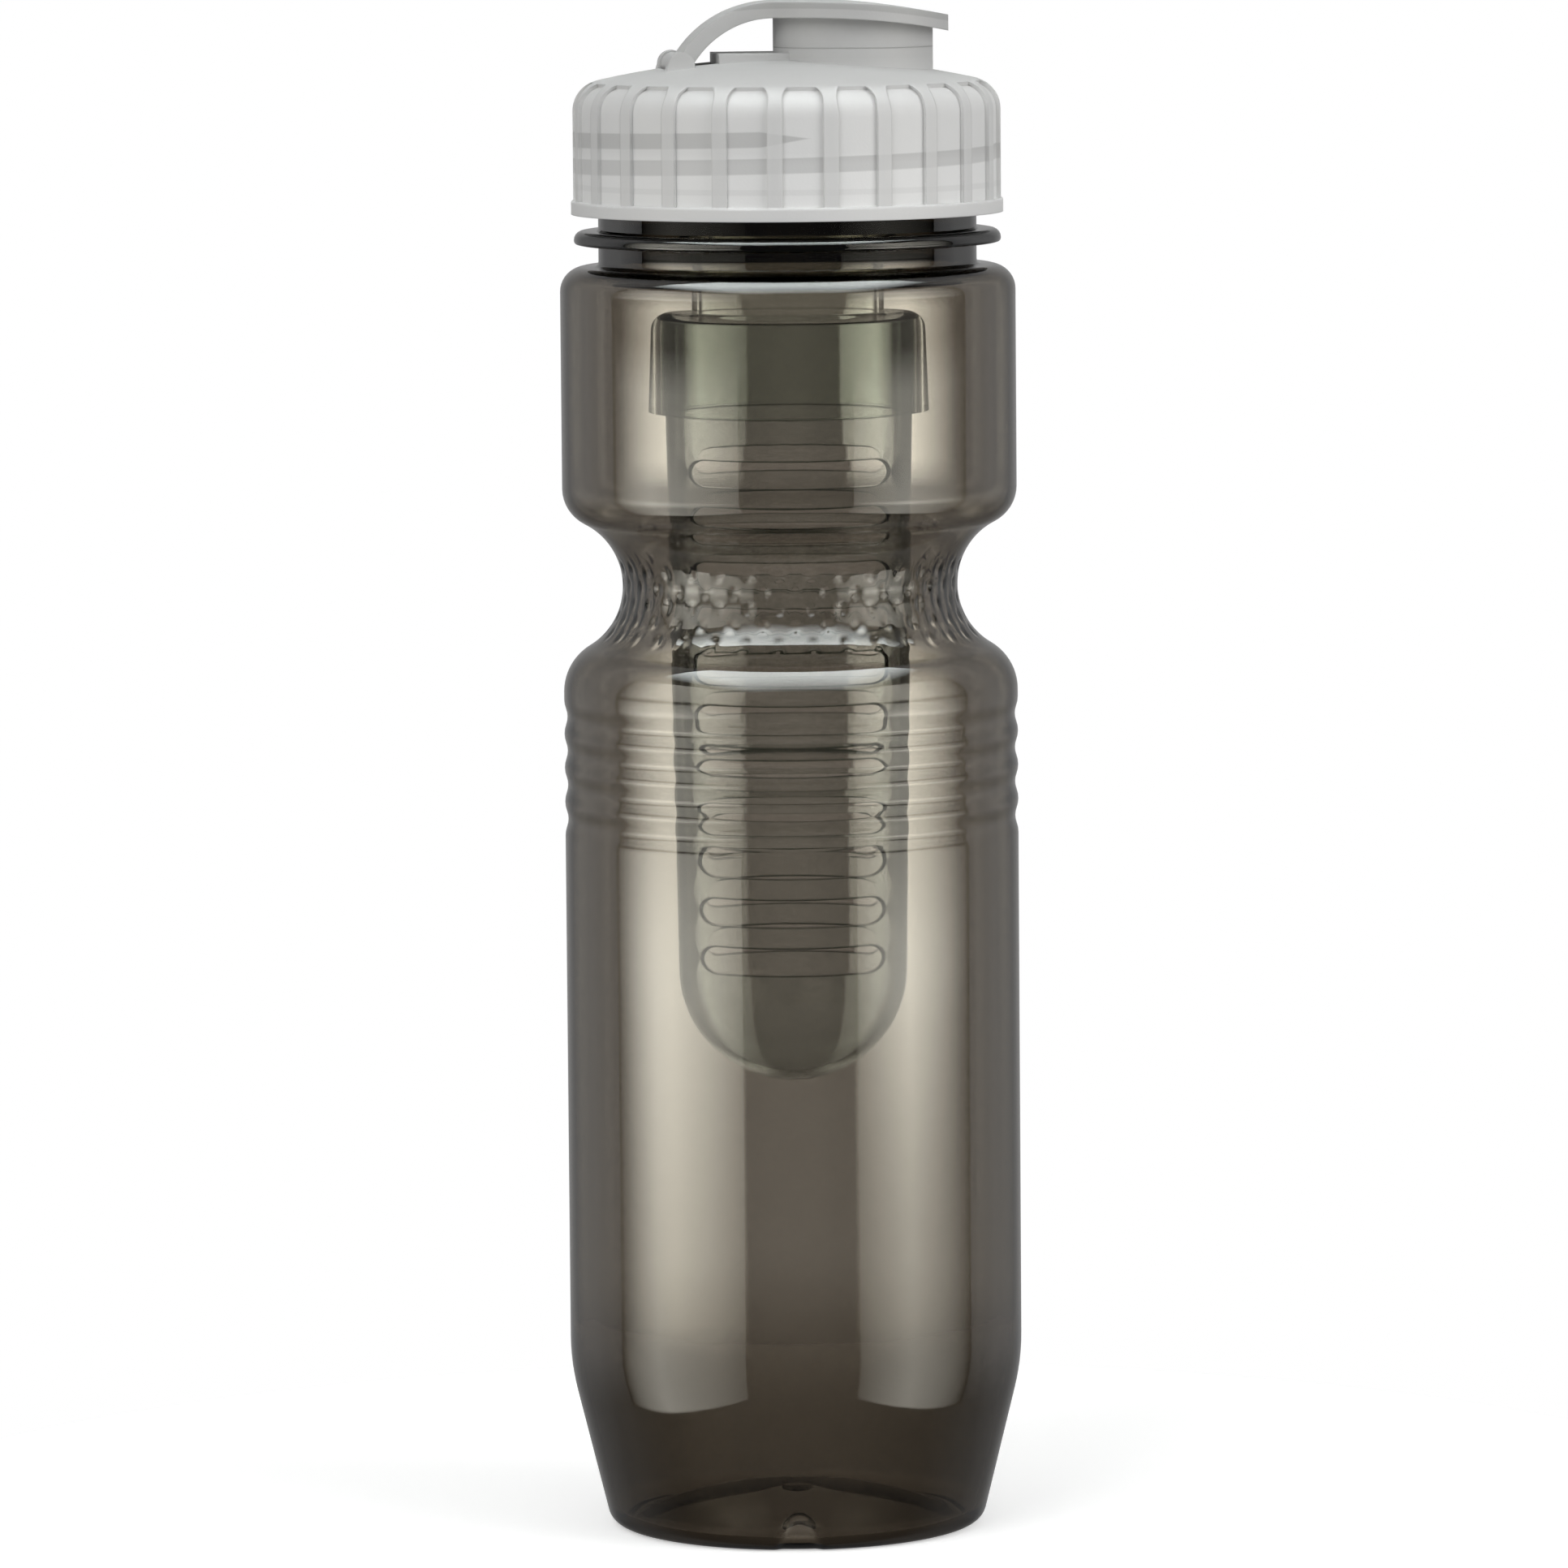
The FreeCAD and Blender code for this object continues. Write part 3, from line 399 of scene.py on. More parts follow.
def outline_grid(graph, given):
    """Grid with a column of outline points for each segment: its share round and along, radius and level."""
    points, segments = graph.wire(given, "Points"), graph.wire(given, "Segments")
    grid = graph.add("GeometryNodeMeshGrid", None, {"Vertices X": segments + 1, "Vertices Y": points})
    index = graph.wire(graph.add("GeometryNodeInputIndex"))
    column = (index / points).math("FLOOR")
    row = index - column * points
    sample = graph.add("GeometryNodeSampleIndex", {"data_type": "FLOAT_VECTOR", "domain": "POINT"})
    graph.tree.links.new(given.outputs["Outline"], sample.inputs["Geometry"])
    graph.tree.links.new(graph.add("GeometryNodeInputPosition").outputs[0], sample.inputs["Value"])
    graph.feed(sample.inputs["Index"], row)
    spot = graph.add("ShaderNodeSeparateXYZ", None, {"Vector": graph.wire(sample)})
    return grid, column / segments, row / points, graph.wire(spot, "X"), graph.wire(spot, "Z")


def finish_tree(graph, given, grid, radius, turn, level):
    """Close a tree: bend the grid round the Z axis, weld the seam, realize, set the finish."""
    links = graph.tree.links
    angle = turn * math.tau
    across, away = radius * angle.math("COSINE"), radius * angle.math("SINE")
    placed = graph.add("ShaderNodeCombineXYZ", None, {"X": across, "Y": away, "Z": level})
    moved = graph.add("GeometryNodeSetPosition", None, {"Position": graph.wire(placed)})
    links.new(grid.outputs["Mesh"], moved.inputs["Geometry"])
    merged = graph.add("GeometryNodeMergeByDistance", None, {"Distance": 1e-7})
    links.new(moved.outputs[0], merged.inputs[0])
    whole = graph.add("GeometryNodeRealizeInstances")
    links.new(merged.outputs[0], whole.inputs[0])
    finish = graph.add("GeometryNodeSetMaterial")
    links.new(whole.outputs[0], finish.inputs["Geometry"])
    links.new(given.outputs["Finish"], finish.inputs["Material"])
    links.new(finish.outputs[0], graph.add("NodeGroupOutput").inputs[0])
    return graph.tree


def lathe_tree():
    """Geometry nodes that turn an outline about the Z axis and press dimples and a notch into it."""
    half_width, half_height = 0.17, 0.38
    notch_slope, foot_radius, outer_half = 0.45, 0.6 * BODY_RADIUS * MM, 0.5
    graph, given = new_tree(
        "lathe",
        {
            "Dimple Base": "Float",
            "Dimple Pitch": "Float",
            "Dimple Rows": "Int",
            "Dimple Count": "Int",
            "Dimple Depth": "Float",
            "Notch Turn": "Float",
            "Notch Width": "Float",
            "Notch Top": "Float",
            "Notch Depth": "Float",
        },
    )
    grid, turn, along, radius, level = outline_grid(graph, given)
    height = (level - graph.wire(given, "Dimple Base")) / graph.wire(given, "Dimple Pitch")
    line = height.math("FLOOR")
    around = turn * graph.wire(given, "Dimple Count") + line.math("MODULO", 2.0) * 0.5
    aside = (around.math("FRACT") - 0.5) / half_width
    above = (height - line - 0.5) / half_height
    bowl = (1.0 - aside * aside - above * above).math("MAXIMUM", 0.0).math("SQRT")
    inside = height.math("GREATER_THAN", 0.0) * height.math("LESS_THAN", graph.wire(given, "Dimple Rows"))
    press = bowl * inside * graph.wire(given, "Dimple Depth")
    from_notch = (turn - graph.wire(given, "Notch Turn")) * radius * math.tau
    beside = from_notch / graph.wire(given, "Notch Width") * 2.0
    arch = level / graph.wire(given, "Notch Top")
    notch = clamped(1.0 - beside * beside - arch * arch, 0.0, notch_slope)
    foot = radius.math("GREATER_THAN", foot_radius) * along.math("LESS_THAN", outer_half)
    pressed = radius - press - notch * foot * graph.wire(given, "Notch Depth")
    return finish_tree(graph, given, grid, pressed, turn, level)


def screw_tree():
    """Geometry nodes that wind a section round the Z axis as a thread with run-out ends."""
    names = ("Turns", "Pitch", "Root", "Base", "Start", "Run Out")
    graph, given = new_tree("screw", dict.fromkeys(names, "Float"))
    turns, pitch, root, base, start, fade = (graph.wire(given, name) for name in names)
    grid, share, _, out, up = outline_grid(graph, given)
    turn = share * turns
    ends = (turn / fade).math("MINIMUM", (turns - turn) / fade).math("MINIMUM", 1.0)
    swell = ends * ends * (3.0 - 2.0 * ends)
    return finish_tree(graph, given, grid, root + out * swell, turn + start, base + up * swell + turn * pitch)


def grow(name, points, tree, values):
    """Run a geometry tree on outline points in mm and keep the result as a plain mesh object."""
    start = bpy.data.meshes.new(name + "_outline")
    start.from_pydata([(radius * MM, 0.0, level * MM) for radius, level in points], [], [])
    source = bpy.data.objects.new(name + "_start", start)
    bpy.context.collection.objects.link(source)
    modifier = source.modifiers.new("shape", "NODES")
    modifier.node_group = tree
    given = {"Points": len(points), **values}
    for socket in tree.interface.items_tree:
        if socket.in_out == "INPUT" and socket.name in given:
            modifier[socket.identifier] = given[socket.name]
    source.update_tag()
    bpy.context.view_layer.update()
    shaped = source.evaluated_get(bpy.context.evaluated_depsgraph_get())
    mesh = bpy.data.meshes.new_from_object(shaped)
    mesh.name = name
    source.modifiers.remove(modifier)
    bpy.data.objects.remove(source)
    piece = bpy.data.objects.new(name, mesh)
    bpy.context.collection.objects.link(piece)
    return piece


def outward(piece, crease):
    """Turn faces outwards and shade smooth up to a crease angle in degrees."""
    shape = bmesh.new()
    shape.from_mesh(piece.data)
    bmesh.ops.recalc_face_normals(shape, faces=shape.faces)
    shape.to_mesh(piece.data)
    shape.free()
    piece.data.polygons.foreach_set("use_smooth", [True] * len(piece.data.polygons))
    piece.data.set_sharp_from_angle(angle=math.radians(crease))
    piece.data.update()


def wound(name, section, finish, sizes, root, base):
    """Thread wound from a section in mm on a root radius and from a base level, also in mm."""
    facets_per_turn, start, run_out = 110, 0.16, 0.06
    tree = bpy.data.node_groups.get("screw") or screw_tree()
    values = {
        "Segments": round(facets_per_turn * sizes.thread_turns),
        "Turns": sizes.thread_turns,
        "Pitch": sizes.thread_pitch * MM,
        "Root": root * MM,
        "Base": base * MM,
        "Start": start,
        "Run Out": run_out,
        "Finish": finish,
    }
    piece = grow(name, section, tree, values)
    outward(piece, 50.0)
    return piece


def new_material(name):
    """Node material, its graph and its Principled shader."""
    material = bpy.data.materials.new(name)
    material.use_nodes = True
    graph = Graph(material.node_tree)
    shader = material.node_tree.nodes["Principled BSDF"]
    return material, graph, shader


def speckle(graph, scale):
    """Noise on the object's own coordinates."""
    place = graph.add("ShaderNodeTexCoord")
    noise = graph.add(
        "ShaderNodeTexNoise", None, {"Vector": graph.wire(place, "Object"), "Scale": scale, "Detail": 3.0}
    )
    return graph.wire(noise)


def tinted(graph, tone, colour):
    """Colour that a varying tone makes lighter or darker."""
    mixed = graph.add("ShaderNodeCombineColor")
    for slot, part in zip(mixed.inputs, colour):
        graph.feed(slot, tone * part)
    return graph.wire(mixed)


def grain(graph, shader, scale, strength, distance, rounding):
    """Fine bump on a surface whose edges are softly rounded."""
    edge = graph.add("ShaderNodeBevel", {"samples": 4}, {"Radius": rounding})
    bump = graph.add(
        "ShaderNodeBump",
        None,
        {
            "Strength": strength,
            "Distance": distance,
            "Height": speckle(graph, scale),
            "Normal": graph.wire(edge),
        },
    )
    graph.feed(shader.inputs["Normal"], graph.wire(bump))


def smoke_plastic(finishes):
    """Clear smoke-tinted plastic whose tint grows with the wall."""
    material, graph, shader = new_material("smoke_plastic")
    shader.inputs["Base Color"].default_value = (1, 1, 1, 1)
    shader.inputs["Transmission Weight"].default_value = 1.0
    shader.inputs["IOR"].default_value = 1.5
    graph.feed(shader.inputs["Roughness"], 0.04 * speckle(graph, 60.0))
    tint = graph.add("ShaderNodeVolumeAbsorption")
    tint.inputs["Color"].default_value = (*finishes.smoke, 1)
    tint.inputs["Density"].default_value = finishes.smoke_density
    output = material.node_tree.nodes["Material Output"]
    material.node_tree.links.new(tint.outputs[0], output.inputs["Volume"])
    return material


def thread_shade(turn, z, pitch):
    """Painted shade: dark bands in the flutes where the thread and the sealing bead lie behind them."""
    level, first_turn, half_band, soft = 220.8 * MM, 0.2694, 0.32, 0.06
    bead_level, bead_outer, bead_inner = 216.6 * MM, 0.55 * MM, 0.35 * MM
    front = turn + first_turn
    climb = (z - level) / (pitch * MM) - front
    wind = (climb + 0.5).math("FLOOR")
    along = wind + front
    half = half_band * clamped(along, 1.02, 0.98) * clamped(along, -0.75, -0.7)
    thread = clamped(half - (climb - wind).math("ABSOLUTE"), 0.0, soft)
    bead = clamped((z - bead_level).math("ABSOLUTE"), bead_outer, bead_inner)
    return 0.31 * thread + 0.09 * bead


def lid_side_shade(graph, place, x, z):
    """Painted shade on the thin upright side of the lid, which follows the bend of its top."""
    bend_x, bend_z, bend = 2.0 * MM, 127.844 * MM, 118.0 * MM
    thick, lid_level, soft = 1.1 * MM, 239.0 * MM, 0.5 * MM
    normal = graph.add("ShaderNodeSeparateXYZ", None, {"Vector": graph.wire(place, "Normal")})
    upright = clamped(graph.wire(normal, "Z").math("ABSOLUTE"), 0.8, 0.6)
    reach, rise = x - bend_x, z - bend_z
    under = bend - (reach * reach + rise * rise).math("SQRT")
    return clamped(under, thick, thick - 0.2 * MM) * upright * clamped(z, lid_level, lid_level + soft)


def frosted_plastic(finishes, pitch):
    """Milky natural plastic with painted light and shade: the thin flutes are painted lighter, as light
    shining through them, with painted shade bands where the thread shows through; ribs look darker than the
    flutes.
    """
    flutes, flute_turn, rib_start, rib_end = 24.0, 5.677, 0.345, 0.375
    skirt_top, crown_shade_low, crown_shade_high = 232.0 * MM, 232.5 * MM, 237.0 * MM
    flange_top, deep_level, shallow_level = (CAP_BASE + 2.1) * MM, 221.0 * MM, 222.8 * MM
    material, graph, shader = new_material("frosted_plastic")
    place = graph.add("ShaderNodeTexCoord")
    spot = graph.add("ShaderNodeSeparateXYZ", None, {"Vector": graph.wire(place, "Object")})
    x, y, z = (graph.wire(spot, axis) for axis in "XYZ")
    turn = y.math("ARCTAN2", x) / math.tau
    skirt = clamped(z, skirt_top + 1.4 * MM, skirt_top)
    flange = clamped(z, flange_top + 0.2 * MM, flange_top)
    flute = ((turn * flutes + flute_turn).math("FRACT") - 0.5).math("ABSOLUTE")
    rib = clamped(flute, rib_start, rib_end)
    below = clamped(z, shallow_level, deep_level)
    # Painted light through the thin flutes, more below the thread and less on the ribs, minus the painted
    # shade of the thread and bead behind.
    shade = (0.16 + 0.12 * below - thread_shade(turn, z, pitch)) * (1.0 - 0.75 * rib)
    # Painted shade: the crown and lid are darker towards the top.
    above = 0.2 * clamped(z, crown_shade_low, crown_shade_high)
    # Painted shade on the upright side of the lid, just below its top.
    edge = 0.14 * lid_side_shade(graph, place, x, z)
    tone = 0.97 + 0.06 * speckle(graph, 45.0) + skirt * (1.0 - flange) * shade + 0.1 * flange - above - edge
    graph.feed(shader.inputs["Base Color"], tinted(graph, tone, finishes.frosted))
    shader.inputs["Specular IOR Level"].default_value = 0.3
    graph.feed(shader.inputs["Roughness"], 0.5 + 0.14 * speckle(graph, 300.0))
    shader.inputs["Subsurface Weight"].default_value = 0.2
    shader.inputs["Subsurface Radius"].default_value = (1.0, 1.0, 1.0)
    shader.inputs["Subsurface Scale"].default_value = 0.0015
    grain(graph, shader, 2500.0, 0.1, 0.0002, 0.35 * MM)
    return material


def natural_plastic(finishes):
    """Thin natural plastic: clear with a pale, softly rough skin."""
    material, graph, shader = new_material("natural_plastic")
    shader.inputs["Base Color"].default_value = (*finishes.film, 1)
    shader.inputs["Transmission Weight"].default_value = 1.0
    shader.inputs["IOR"].default_value = 1.05
    graph.feed(shader.inputs["Roughness"], 0.08 + 0.08 * speckle(graph, 80.0))
    return material


def clear_plastic(finishes):
    """Clear plastic with a faint green tint; a dark green is painted along its moulded edges as painted shade
    for the dark refraction lines there.
    """
    material, graph, shader = new_material("clear_plastic")
    shader.inputs["Base Color"].default_value = (1, 1, 1, 1)
    shader.inputs["Transmission Weight"].default_value = 1.0
    shader.inputs["IOR"].default_value = 1.49
    graph.feed(shader.inputs["Roughness"], 0.01 + 0.01 * speckle(graph, 80.0))
    rounded = graph.add("ShaderNodeBevel", {"samples": 6}, {"Radius": 0.45 * MM})
    plain = graph.add("ShaderNodeNewGeometry")
    match = graph.add("ShaderNodeVectorMath", {"operation": "DOT_PRODUCT"})
    graph.feed(match.inputs[0], graph.wire(rounded))
    graph.feed(match.inputs[1], graph.wire(plain, "Normal"))
    # Painted shade: a dark green surface mixed in along the edges in place of the dark refraction lines
    # there.
    green = graph.add("ShaderNodeBsdfPrincipled")
    green.inputs["Base Color"].default_value = (*finishes.edge, 1)
    green.inputs["Roughness"].default_value = 0.3
    mixed = graph.add("ShaderNodeMixShader")
    graph.feed(mixed.inputs[0], 0.9 * clamped(graph.wire(match, "Value"), 0.985, 0.9))
    material.node_tree.links.new(shader.outputs[0], mixed.inputs[1])
    material.node_tree.links.new(green.outputs[0], mixed.inputs[2])
    tint = graph.add("ShaderNodeVolumeAbsorption")
    tint.inputs["Color"].default_value = (*finishes.clear, 1)
    tint.inputs["Density"].default_value = finishes.clear_density
    output = material.node_tree.nodes["Material Output"]
    material.node_tree.links.new(mixed.outputs[0], output.inputs["Surface"])
    material.node_tree.links.new(tint.outputs[0], output.inputs["Volume"])
    return material


def silicone(finishes):
    """Soft translucent seal."""
    material, graph, shader = new_material("silicone")
    shader.inputs["Base Color"].default_value = (*finishes.silicone, 1)
    shader.inputs["Subsurface Weight"].default_value = 0.3
    shader.inputs["Subsurface Scale"].default_value = 0.001
    graph.feed(shader.inputs["Roughness"], 0.45 + 0.2 * speckle(graph, 400.0))
    return material


def dress(node, material):
    """Give a CAD node a finish."""
    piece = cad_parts[node]
    piece.data.materials.clear()
    piece.data.materials.append(material)


class BOTTLE_OT_shell(bpy.types.Operator):
    """Blow the bottle with its grip rings, dimpled waist and neck"""

    bl_idname = "infuser_bottle.shell"
    bl_label = "Bottle"

    def execute(self, context):
        sizes = context.scene.bottle_sizes
        finish = smoke_plastic(context.scene.bottle_finishes)
        values = {
            "Segments": sizes.segments,
            "Dimple Base": DIMPLE_LEVEL * MM,
            "Dimple Pitch": sizes.dimple_pitch * MM,
            "Dimple Rows": sizes.dimple_rows,
            "Dimple Count": sizes.dimple_count,
            "Dimple Depth": sizes.dimple_depth * MM,
            "Notch Turn": sizes.notch_turn,
            "Notch Width": sizes.notch_width * MM,
            "Notch Top": sizes.notch_top * MM,
            "Notch Depth": sizes.notch_depth * MM,
            "Finish": finish,
        }
        shell = grow("bottle_shell", bottle_outline(sizes.wall), lathe_tree(), values)
        outward(shell, 35.0)
        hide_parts(*BOTTLE_NODES)
        section = [(-0.3, -1.1), (0.0, -1.1), (0.85, -0.45), (0.85, 0.45), (0.0, 1.1), (-0.3, 1.1)]
        section.append(section[0])
        thread = wound("neck_thread", section, finish, sizes, NECK_RADIUS, THREAD_LEVEL)
        for piece in (shell, thread):
            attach(piece, "bottle")
        return {"FINISHED"}


class BOTTLE_OT_cap(bpy.types.Operator):
    """Finish the screw cap and its flip lid"""

    bl_idname = "infuser_bottle.cap"
    bl_label = "Cap and lid"

    def execute(self, context):
        sizes = context.scene.bottle_sizes
        finish = frosted_plastic(context.scene.bottle_finishes, sizes.thread_pitch)
        for node in ("screw_cap", "flip_lid"):
            dress(node, finish)
        section = [(0.3, -0.8), (0.3, 0.8), (0.0, 0.8), (-0.8, 0.3), (-0.8, -0.3), (0.0, -0.8), (0.3, -0.8)]
        level = THREAD_LEVEL - sizes.thread_pitch / 2
        thread = wound("cap_thread", section, finish, sizes, CAP_BORE, level)
        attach(thread, "cap")
        return {"FINISHED"}


class BOTTLE_OT_infuser(bpy.types.Operator):
    """Finish the infuser basket and the seals"""

    bl_idname = "infuser_bottle.infuser"
    bl_label = "Infuser and seals"

    def execute(self, context):
        finishes = context.scene.bottle_finishes
        dress("infuser_collar", natural_plastic(finishes))
        dress("infuser_basket", clear_plastic(finishes))
        rubber = silicone(finishes)
        dress("cap_gasket", rubber)
        dress("collar_seal", rubber)
        return {"FINISHED"}


def backdrop(scene, turn):
    """White room with dark corners, which draw the edges of clear pieces, and a plain level on matt ones."""
    corner_dark, top_dark, plain_level = 0.6, 0.5, 0.36
    mirror_least, mirror_side, mirror_back, mirror_floor = 0.08, 0.6, 0.33, 0.75
    world = scene.world or bpy.data.worlds.new("backdrop")
    scene.world = world
    world.use_nodes = True
    air = Graph(world.node_tree)
    path = air.add("ShaderNodeLightPath")
    kinds = ("Camera", "Transmission", "Glossy")
    camera, through, glossy = (air.wire(path, f"Is {kind} Ray") for kind in kinds)
    way = air.add("ShaderNodeTexCoord")
    split = air.add("ShaderNodeSeparateXYZ", None, {"Vector": air.wire(way, "Generated")})
    x, y, z = (air.wire(split, axis) for axis in "XYZ")
    flat = (x * x + y * y).math("SQRT").math("MAXIMUM", 1e-4)
    ahead = (y * math.cos(turn) - x * math.sin(turn)) / flat
    square = ahead * ahead
    walls = clamped(8.0 * square * square - 8.0 * square + 1.0, 0.1, 0.6)
    level = 1.0 - clamped(z.math("ABSOLUTE"), 0.2, 0.27)
    seen = 1.0 - (corner_dark * (1.0 - walls) * level).math("MAXIMUM", top_dark * clamped(z, 0.2, 0.4))
    sides = mirror_side * clamped(ahead, -0.2, 0.3) - mirror_back * clamped(ahead, 0.55, 0.85)
    mirrored = mirror_least + sides * (1.0 - mirror_floor * clamped(z, -0.12, -0.4))
    background = world.node_tree.nodes["Background"]
    background.inputs["Color"].default_value = (1, 1, 1, 1)
    rest = through * seen + (1.0 - through) * (glossy * mirrored + (1.0 - glossy) * plain_level)
    air.feed(background.inputs["Strength"], camera + (1.0 - camera) * rest)


def floor_disc(scene):
    """White floor that keeps the shadow; it glows a little, and more where it is seen through the bottle."""
    radius, sides, drop = 0.16, 96, 1e-5
    glow, through_glow, under_glow, under_outer, under_inner = 0.45, 1.2, 1.5, 0.045, 0.03
    angles = [math.tau * index / sides for index in range(sides)]
    rim = [(radius * math.cos(angle), radius * math.sin(angle), -drop) for angle in angles]
    mesh = bpy.data.meshes.new("floor")
    mesh.from_pydata(rim, [], [list(range(sides))])
    floor = bpy.data.objects.new("floor", mesh)
    scene.collection.objects.link(floor)
    floor.visible_glossy = False
    material, graph, shader = new_material("floor_white")
    shader.inputs["Base Color"].default_value = (0.9, 0.9, 0.9, 1)
    shader.inputs["Roughness"].default_value = 0.8
    path = graph.add("ShaderNodeLightPath")
    place = graph.add("ShaderNodeTexCoord")
    middle = graph.add("ShaderNodeVectorMath", {"operation": "LENGTH"}, {0: graph.wire(place, "Object")})
    under = clamped(graph.wire(middle, "Value"), under_outer, under_inner)
    through = graph.wire(path, "Is Transmission Ray") * (through_glow + under_glow * under)
    seen = graph.wire(path, "Is Camera Ray") + through
    graph.feed(shader.inputs["Emission Color"], tinted(graph, glow * seen, (1.0, 1.0, 1.0)))
    shader.inputs["Emission Strength"].default_value = 1.0
    mesh.materials.append(material)


def board(scene, name, spot, facing, wide, tall, paint, colour, bright, behind=False):
    """Soft panel seen only in gloss, or if behind, only through clear pieces.

    Wide and tall are half sizes, and paint gives the tone at a place across and up, all in metres.
    """
    mesh = bpy.data.meshes.new(name)
    corners = [(-wide, -tall, 0), (wide, -tall, 0), (wide, tall, 0), (-wide, tall, 0)]
    mesh.from_pydata(corners, [], [(0, 1, 2, 3)])
    panel = bpy.data.objects.new(name, mesh)
    scene.collection.objects.link(panel)
    panel.location = spot
    panel.rotation_euler = facing.to_track_quat("Z", "Y").to_euler()
    panel.visible_camera = panel.visible_diffuse = panel.visible_shadow = False
    panel.visible_glossy, panel.visible_transmission = not behind, behind
    material, graph, shader = new_material(name)
    material.node_tree.nodes.remove(shader)
    place = graph.add("ShaderNodeTexCoord")
    split = graph.add("ShaderNodeSeparateXYZ", None, {"Vector": graph.wire(place, "Object")})
    tone = bright * paint(graph.wire(split, "X"), graph.wire(split, "Y"))
    surface = graph.add("ShaderNodeEmission", None, {"Color": tinted(graph, tone, colour)})
    links = material.node_tree.links
    if behind:
        glow, surface = surface, graph.add("ShaderNodeAddShader")
        links.new(glow.outputs[0], surface.inputs[0])
        links.new(graph.add("ShaderNodeBsdfTransparent").outputs[0], surface.inputs[1])
    links.new(surface.outputs[0], material.node_tree.nodes["Material Output"].inputs["Surface"])
    mesh.materials.append(material)


def side_panel(scene, name, angle, half, peak, spread, bright):
    """Tall panel beside the bottle: crisp inner edge, brightest at its peak, fading outwards."""
    reach, low, high, end_fade = 0.75, -0.312, 0.6, 0.015
    inner_tone, hot_level, hot_share, neck_dim = 0.22, 0.035, 0.5, 0.85
    wide, middle = reach * math.sin(half), (low + high) / 2
    away = Vector((math.sin(angle), -math.cos(angle), 0.0)) * reach * math.cos(half)
    outer = (-1.0 if angle > 0 else 1.0) / wide

    def paint(across, up):
        share, height = across * outer, up + middle
        rising = inner_tone + (1.0 - inner_tone) * (share + 1.0) / (1.0 + peak)
        falling = ((1.0 - share) / (1.0 - peak)).math("MAXIMUM", 0.0)
        hot = (height - hot_level) / spread
        bump = 1.0 - hot_share + hot_share * (hot * hot * -1.0).math("EXPONENT")
        dim = 1.0 - neck_dim * clamped(height, 0.15, 0.178) * clamped(height, 0.24, 0.2)
        end = clamped(height, low, low + end_fade)
        return rising.math("MINIMUM", falling) * bump * dim * end

    spot = away + Vector((0, 0, middle))
    board(scene, name, spot, -away, wide, (high - low) / 2, paint, (1.0, 0.97, 0.86), bright)


def top_panel(scene, turn, bright):
    """Panel overhead, brightest above the bottle and fading towards the viewer."""
    wide, tall, full_from, side_fade = 0.62, 0.5, 0.2, 0.3
    spot = Matrix.Rotation(turn, 3, "Z") @ Vector((0.0, -0.42, 0.8))

    def paint(across, up):
        return clamped(up, -tall, full_from) * clamped(wide - across.math("ABSOLUTE"), 0.0, side_fade)

    board(scene, "top_panel", spot, Vector((0.0, -1e-4, -1.0)), wide, tall, paint, (0.94, 1.0, 0.99), bright)


def back_panel(scene, turn, bright):
    """Clear sheet behind the bottle with two glowing bands, which the infuser stands in front of."""
    wide, low, high, distance = 0.034, 0.015, 0.205, 0.045
    heel_end, rings_end, chest_start, chest_end = 0.018, 0.141, 0.162, 0.200
    band_end, crisp, soft, chest_soft = 0.029, 0.0006, 0.006, 0.004
    middle = (low + high) / 2
    away = Vector((-math.sin(turn), math.cos(turn), 0.0)) * distance

    def band(aside, inner, rise, peak, inner_tone):
        lit = clamped(aside, inner, inner + crisp) * clamped(aside, band_end, peak)
        return lit * (inner_tone + (1.0 - inner_tone) * clamped(aside, rise, peak))

    def paint(across, up):
        height = up + middle
        left = band(across * -1.0, 0.0080, 0.0080, 0.021, 0.2)
        right = band(across, 0.0102, 0.0100, 0.020, 0.3) * (0.45 + 0.75 * clamped(height, 0.04, 0.12))
        lower = clamped(height, heel_end, heel_end + soft) * clamped(height, rings_end, rings_end - soft)
        lower = lower * (0.7 + 0.3 * clamped(height, 0.03, 0.09))
        upper = clamped(height, chest_start, chest_start + soft)
        upper = upper * clamped(height, chest_end, chest_end - chest_soft)
        upper = upper * (1.5 - 0.1 * clamped(height, 0.170, 0.195))
        return (left + right) * (lower + upper)

    spot, tall = away + Vector((0, 0, middle)), (high - low) / 2
    board(scene, "back_panel", spot, -away, wide, tall, paint, (0.9, 0.98, 1.0), bright, behind=True)


def soft_lamp(scene, name, spot, power):
    """Wide lamp that points at the bottle and shows in no gloss."""
    aim = Vector((0, 0, 0.15))
    light = bpy.data.lights.new(name, "AREA")
    light.size = 1.2
    light.energy = power
    lamp = bpy.data.objects.new(name, light)
    scene.collection.objects.link(lamp)
    lamp.location = spot
    lamp.rotation_euler = (Vector(spot) - aim).to_track_quat("Z", "Y").to_euler()
    lamp.visible_glossy = False


def place_camera(scene, settings, turn):
    """Camera in front of the bottle, a little above it and slightly rolled."""
    view = bpy.data.cameras.new("camera")
    view.lens = settings.lens
    view.sensor_width = 36.0
    view.clip_end = 20.0
    camera = bpy.data.objects.new("camera", view)
    scene.collection.objects.link(camera)
    back = Vector((math.sin(turn), -math.cos(turn), 0.0)) * settings.camera_distance
    camera.location = back + Vector((0, 0, settings.camera_height))
    aside = Vector((math.cos(turn), math.sin(turn), 0.0)) * settings.aim_side
    aim = Vector((0, 0, settings.aim_height)) - aside
    facing = (camera.location - aim).to_track_quat("Z", "Y").to_matrix()
    roll = Matrix.Rotation(math.radians(settings.camera_roll), 3, "Z")
    camera.rotation_euler = (facing @ roll).to_euler()
    scene.camera = camera


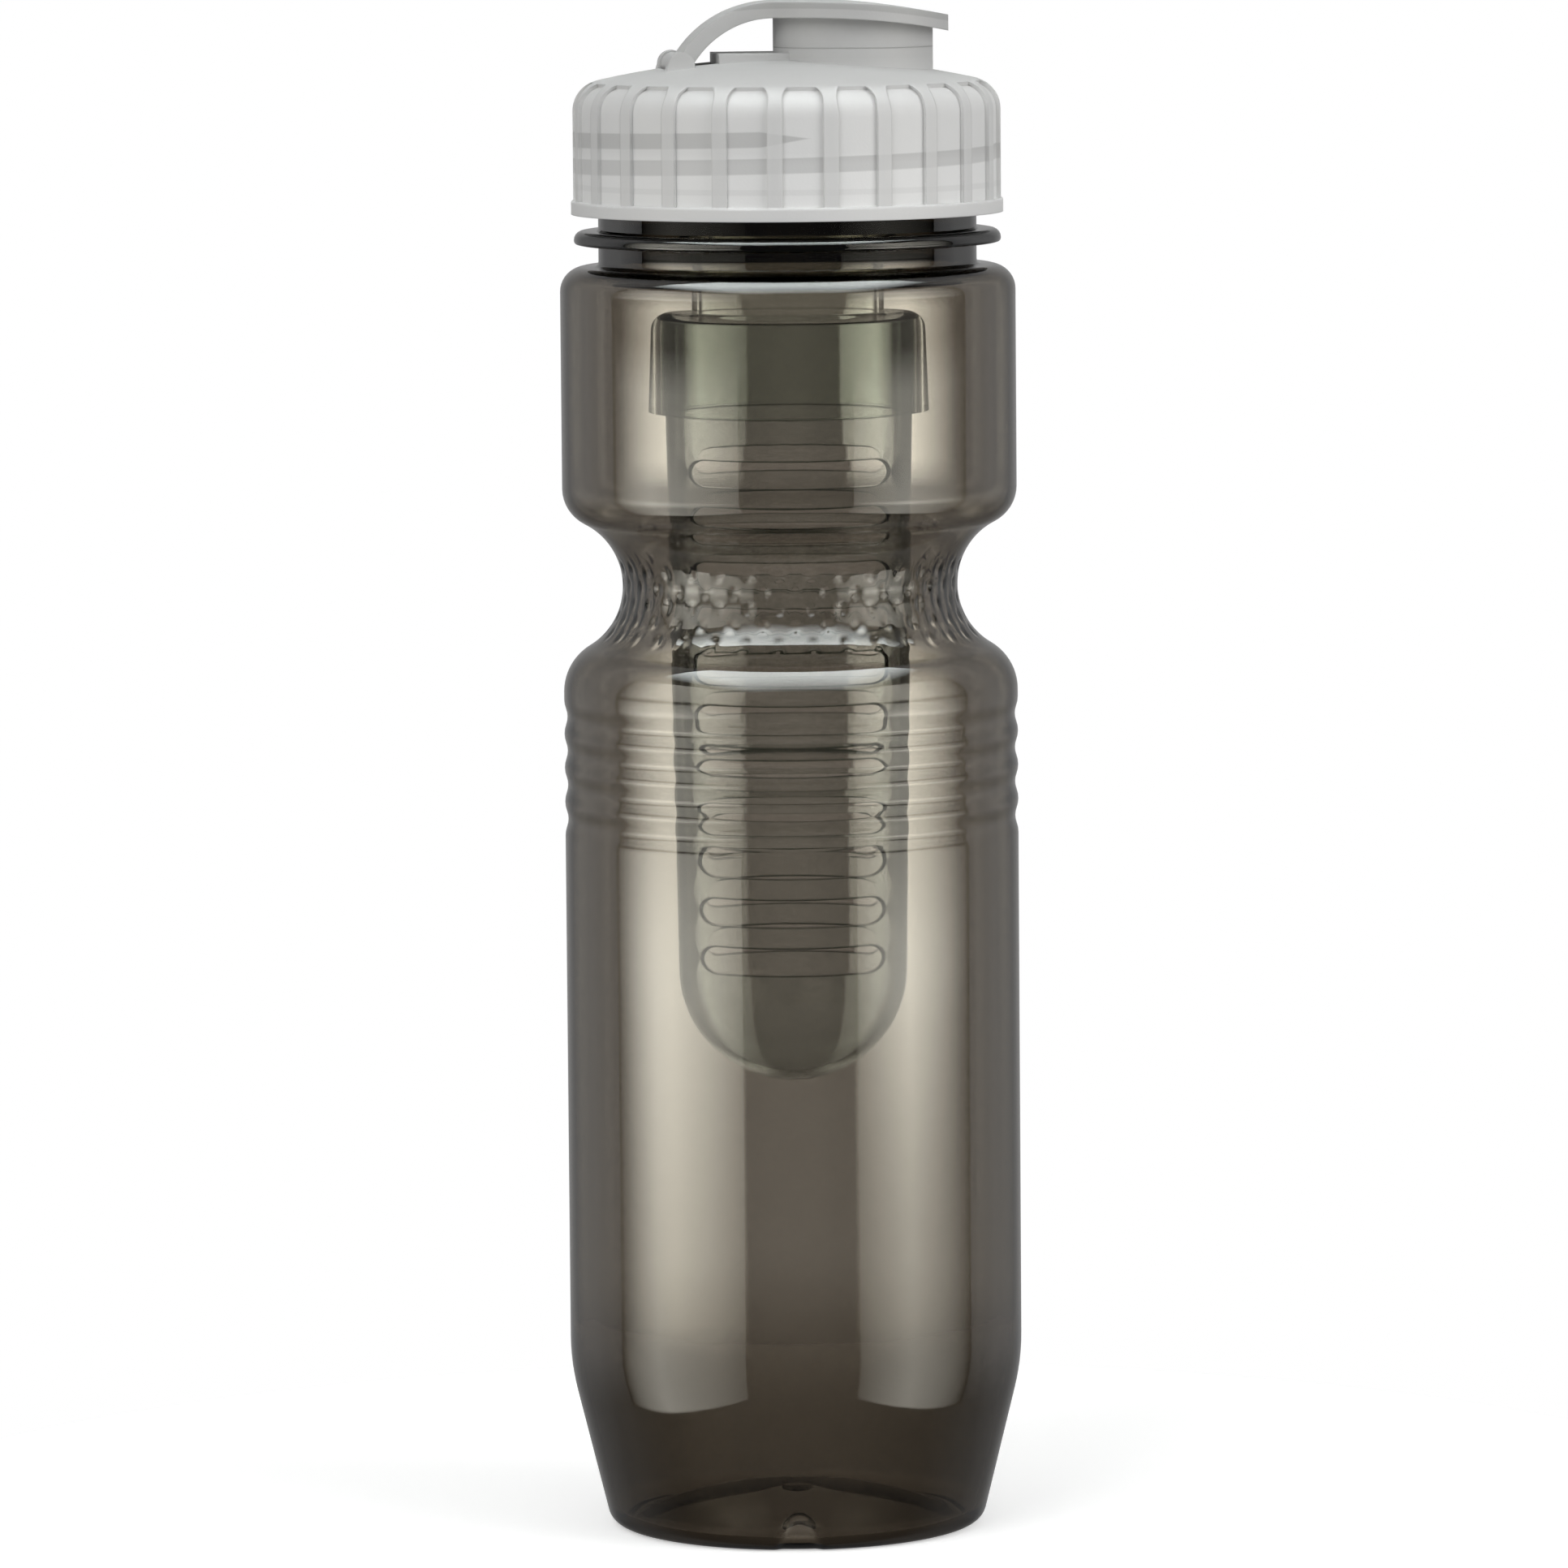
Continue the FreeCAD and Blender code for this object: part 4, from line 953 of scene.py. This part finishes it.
class BOTTLE_OT_stage(bpy.types.Operator):
    """Set the floor, the light and the camera"""

    bl_idname = "infuser_bottle.stage"
    bl_label = "Stage"

    def execute(self, context):
        scene = context.scene
        settings = scene.bottle_stage
        scene.view_settings.view_transform = "Standard"
        turn = math.radians(settings.camera_turn)
        floor_disc(scene)
        backdrop(scene, turn)
        for name, middle, half, peak, spread, bright in (
            ("left_panel", -61.5, 36.5, 0.25, 0.06, settings.left_panel),
            ("right_panel", 65.5, 33.5, -0.15, 0.045, settings.right_panel),
        ):
            side_panel(scene, name, turn + math.radians(middle), math.radians(half), peak, spread, bright)
        top_panel(scene, turn, settings.top_panel)
        back_panel(scene, turn, settings.back_panel)
        soft_lamp(scene, "left_lamp", (-1.0, -1.3, 1.3), settings.key_power)
        soft_lamp(scene, "right_lamp", (1.3, -1.0, 0.9), settings.key_power)
        place_camera(scene, settings, turn)
        return {"FINISHED"}


class BOTTLE_PT_panel(bpy.types.Panel):
    """Sidebar panel with the steps of the build"""

    bl_idname = "BOTTLE_PT_panel"
    bl_label = "Infuser bottle"
    bl_space_type = "VIEW_3D"
    bl_region_type = "UI"
    bl_category = "Bottle"

    def draw(self, context):
        for step in STEPS:
            self.layout.operator(step.bl_idname)


STEPS = (BOTTLE_OT_shell, BOTTLE_OT_cap, BOTTLE_OT_infuser, BOTTLE_OT_stage)
GROUPS = {"bottle_sizes": BottleSizes, "bottle_finishes": Finishes, "bottle_stage": StageSettings}


def register():
    for group in GROUPS.values():
        bpy.utils.register_class(group)
    for step in STEPS:
        bpy.utils.register_class(step)
    bpy.utils.register_class(BOTTLE_PT_panel)
    for name, group in GROUPS.items():
        setattr(bpy.types.Scene, name, PointerProperty(type=group))


def unregister():
    for name in GROUPS:
        delattr(bpy.types.Scene, name)
    for kind in (BOTTLE_PT_panel, *STEPS, *GROUPS.values()):
        bpy.utils.unregister_class(kind)


def main():
    register()
    bpy.ops.infuser_bottle.shell()
    bpy.ops.infuser_bottle.cap()
    bpy.ops.infuser_bottle.infuser()
    bpy.ops.infuser_bottle.stage()


if __name__ == "__main__":
    main()
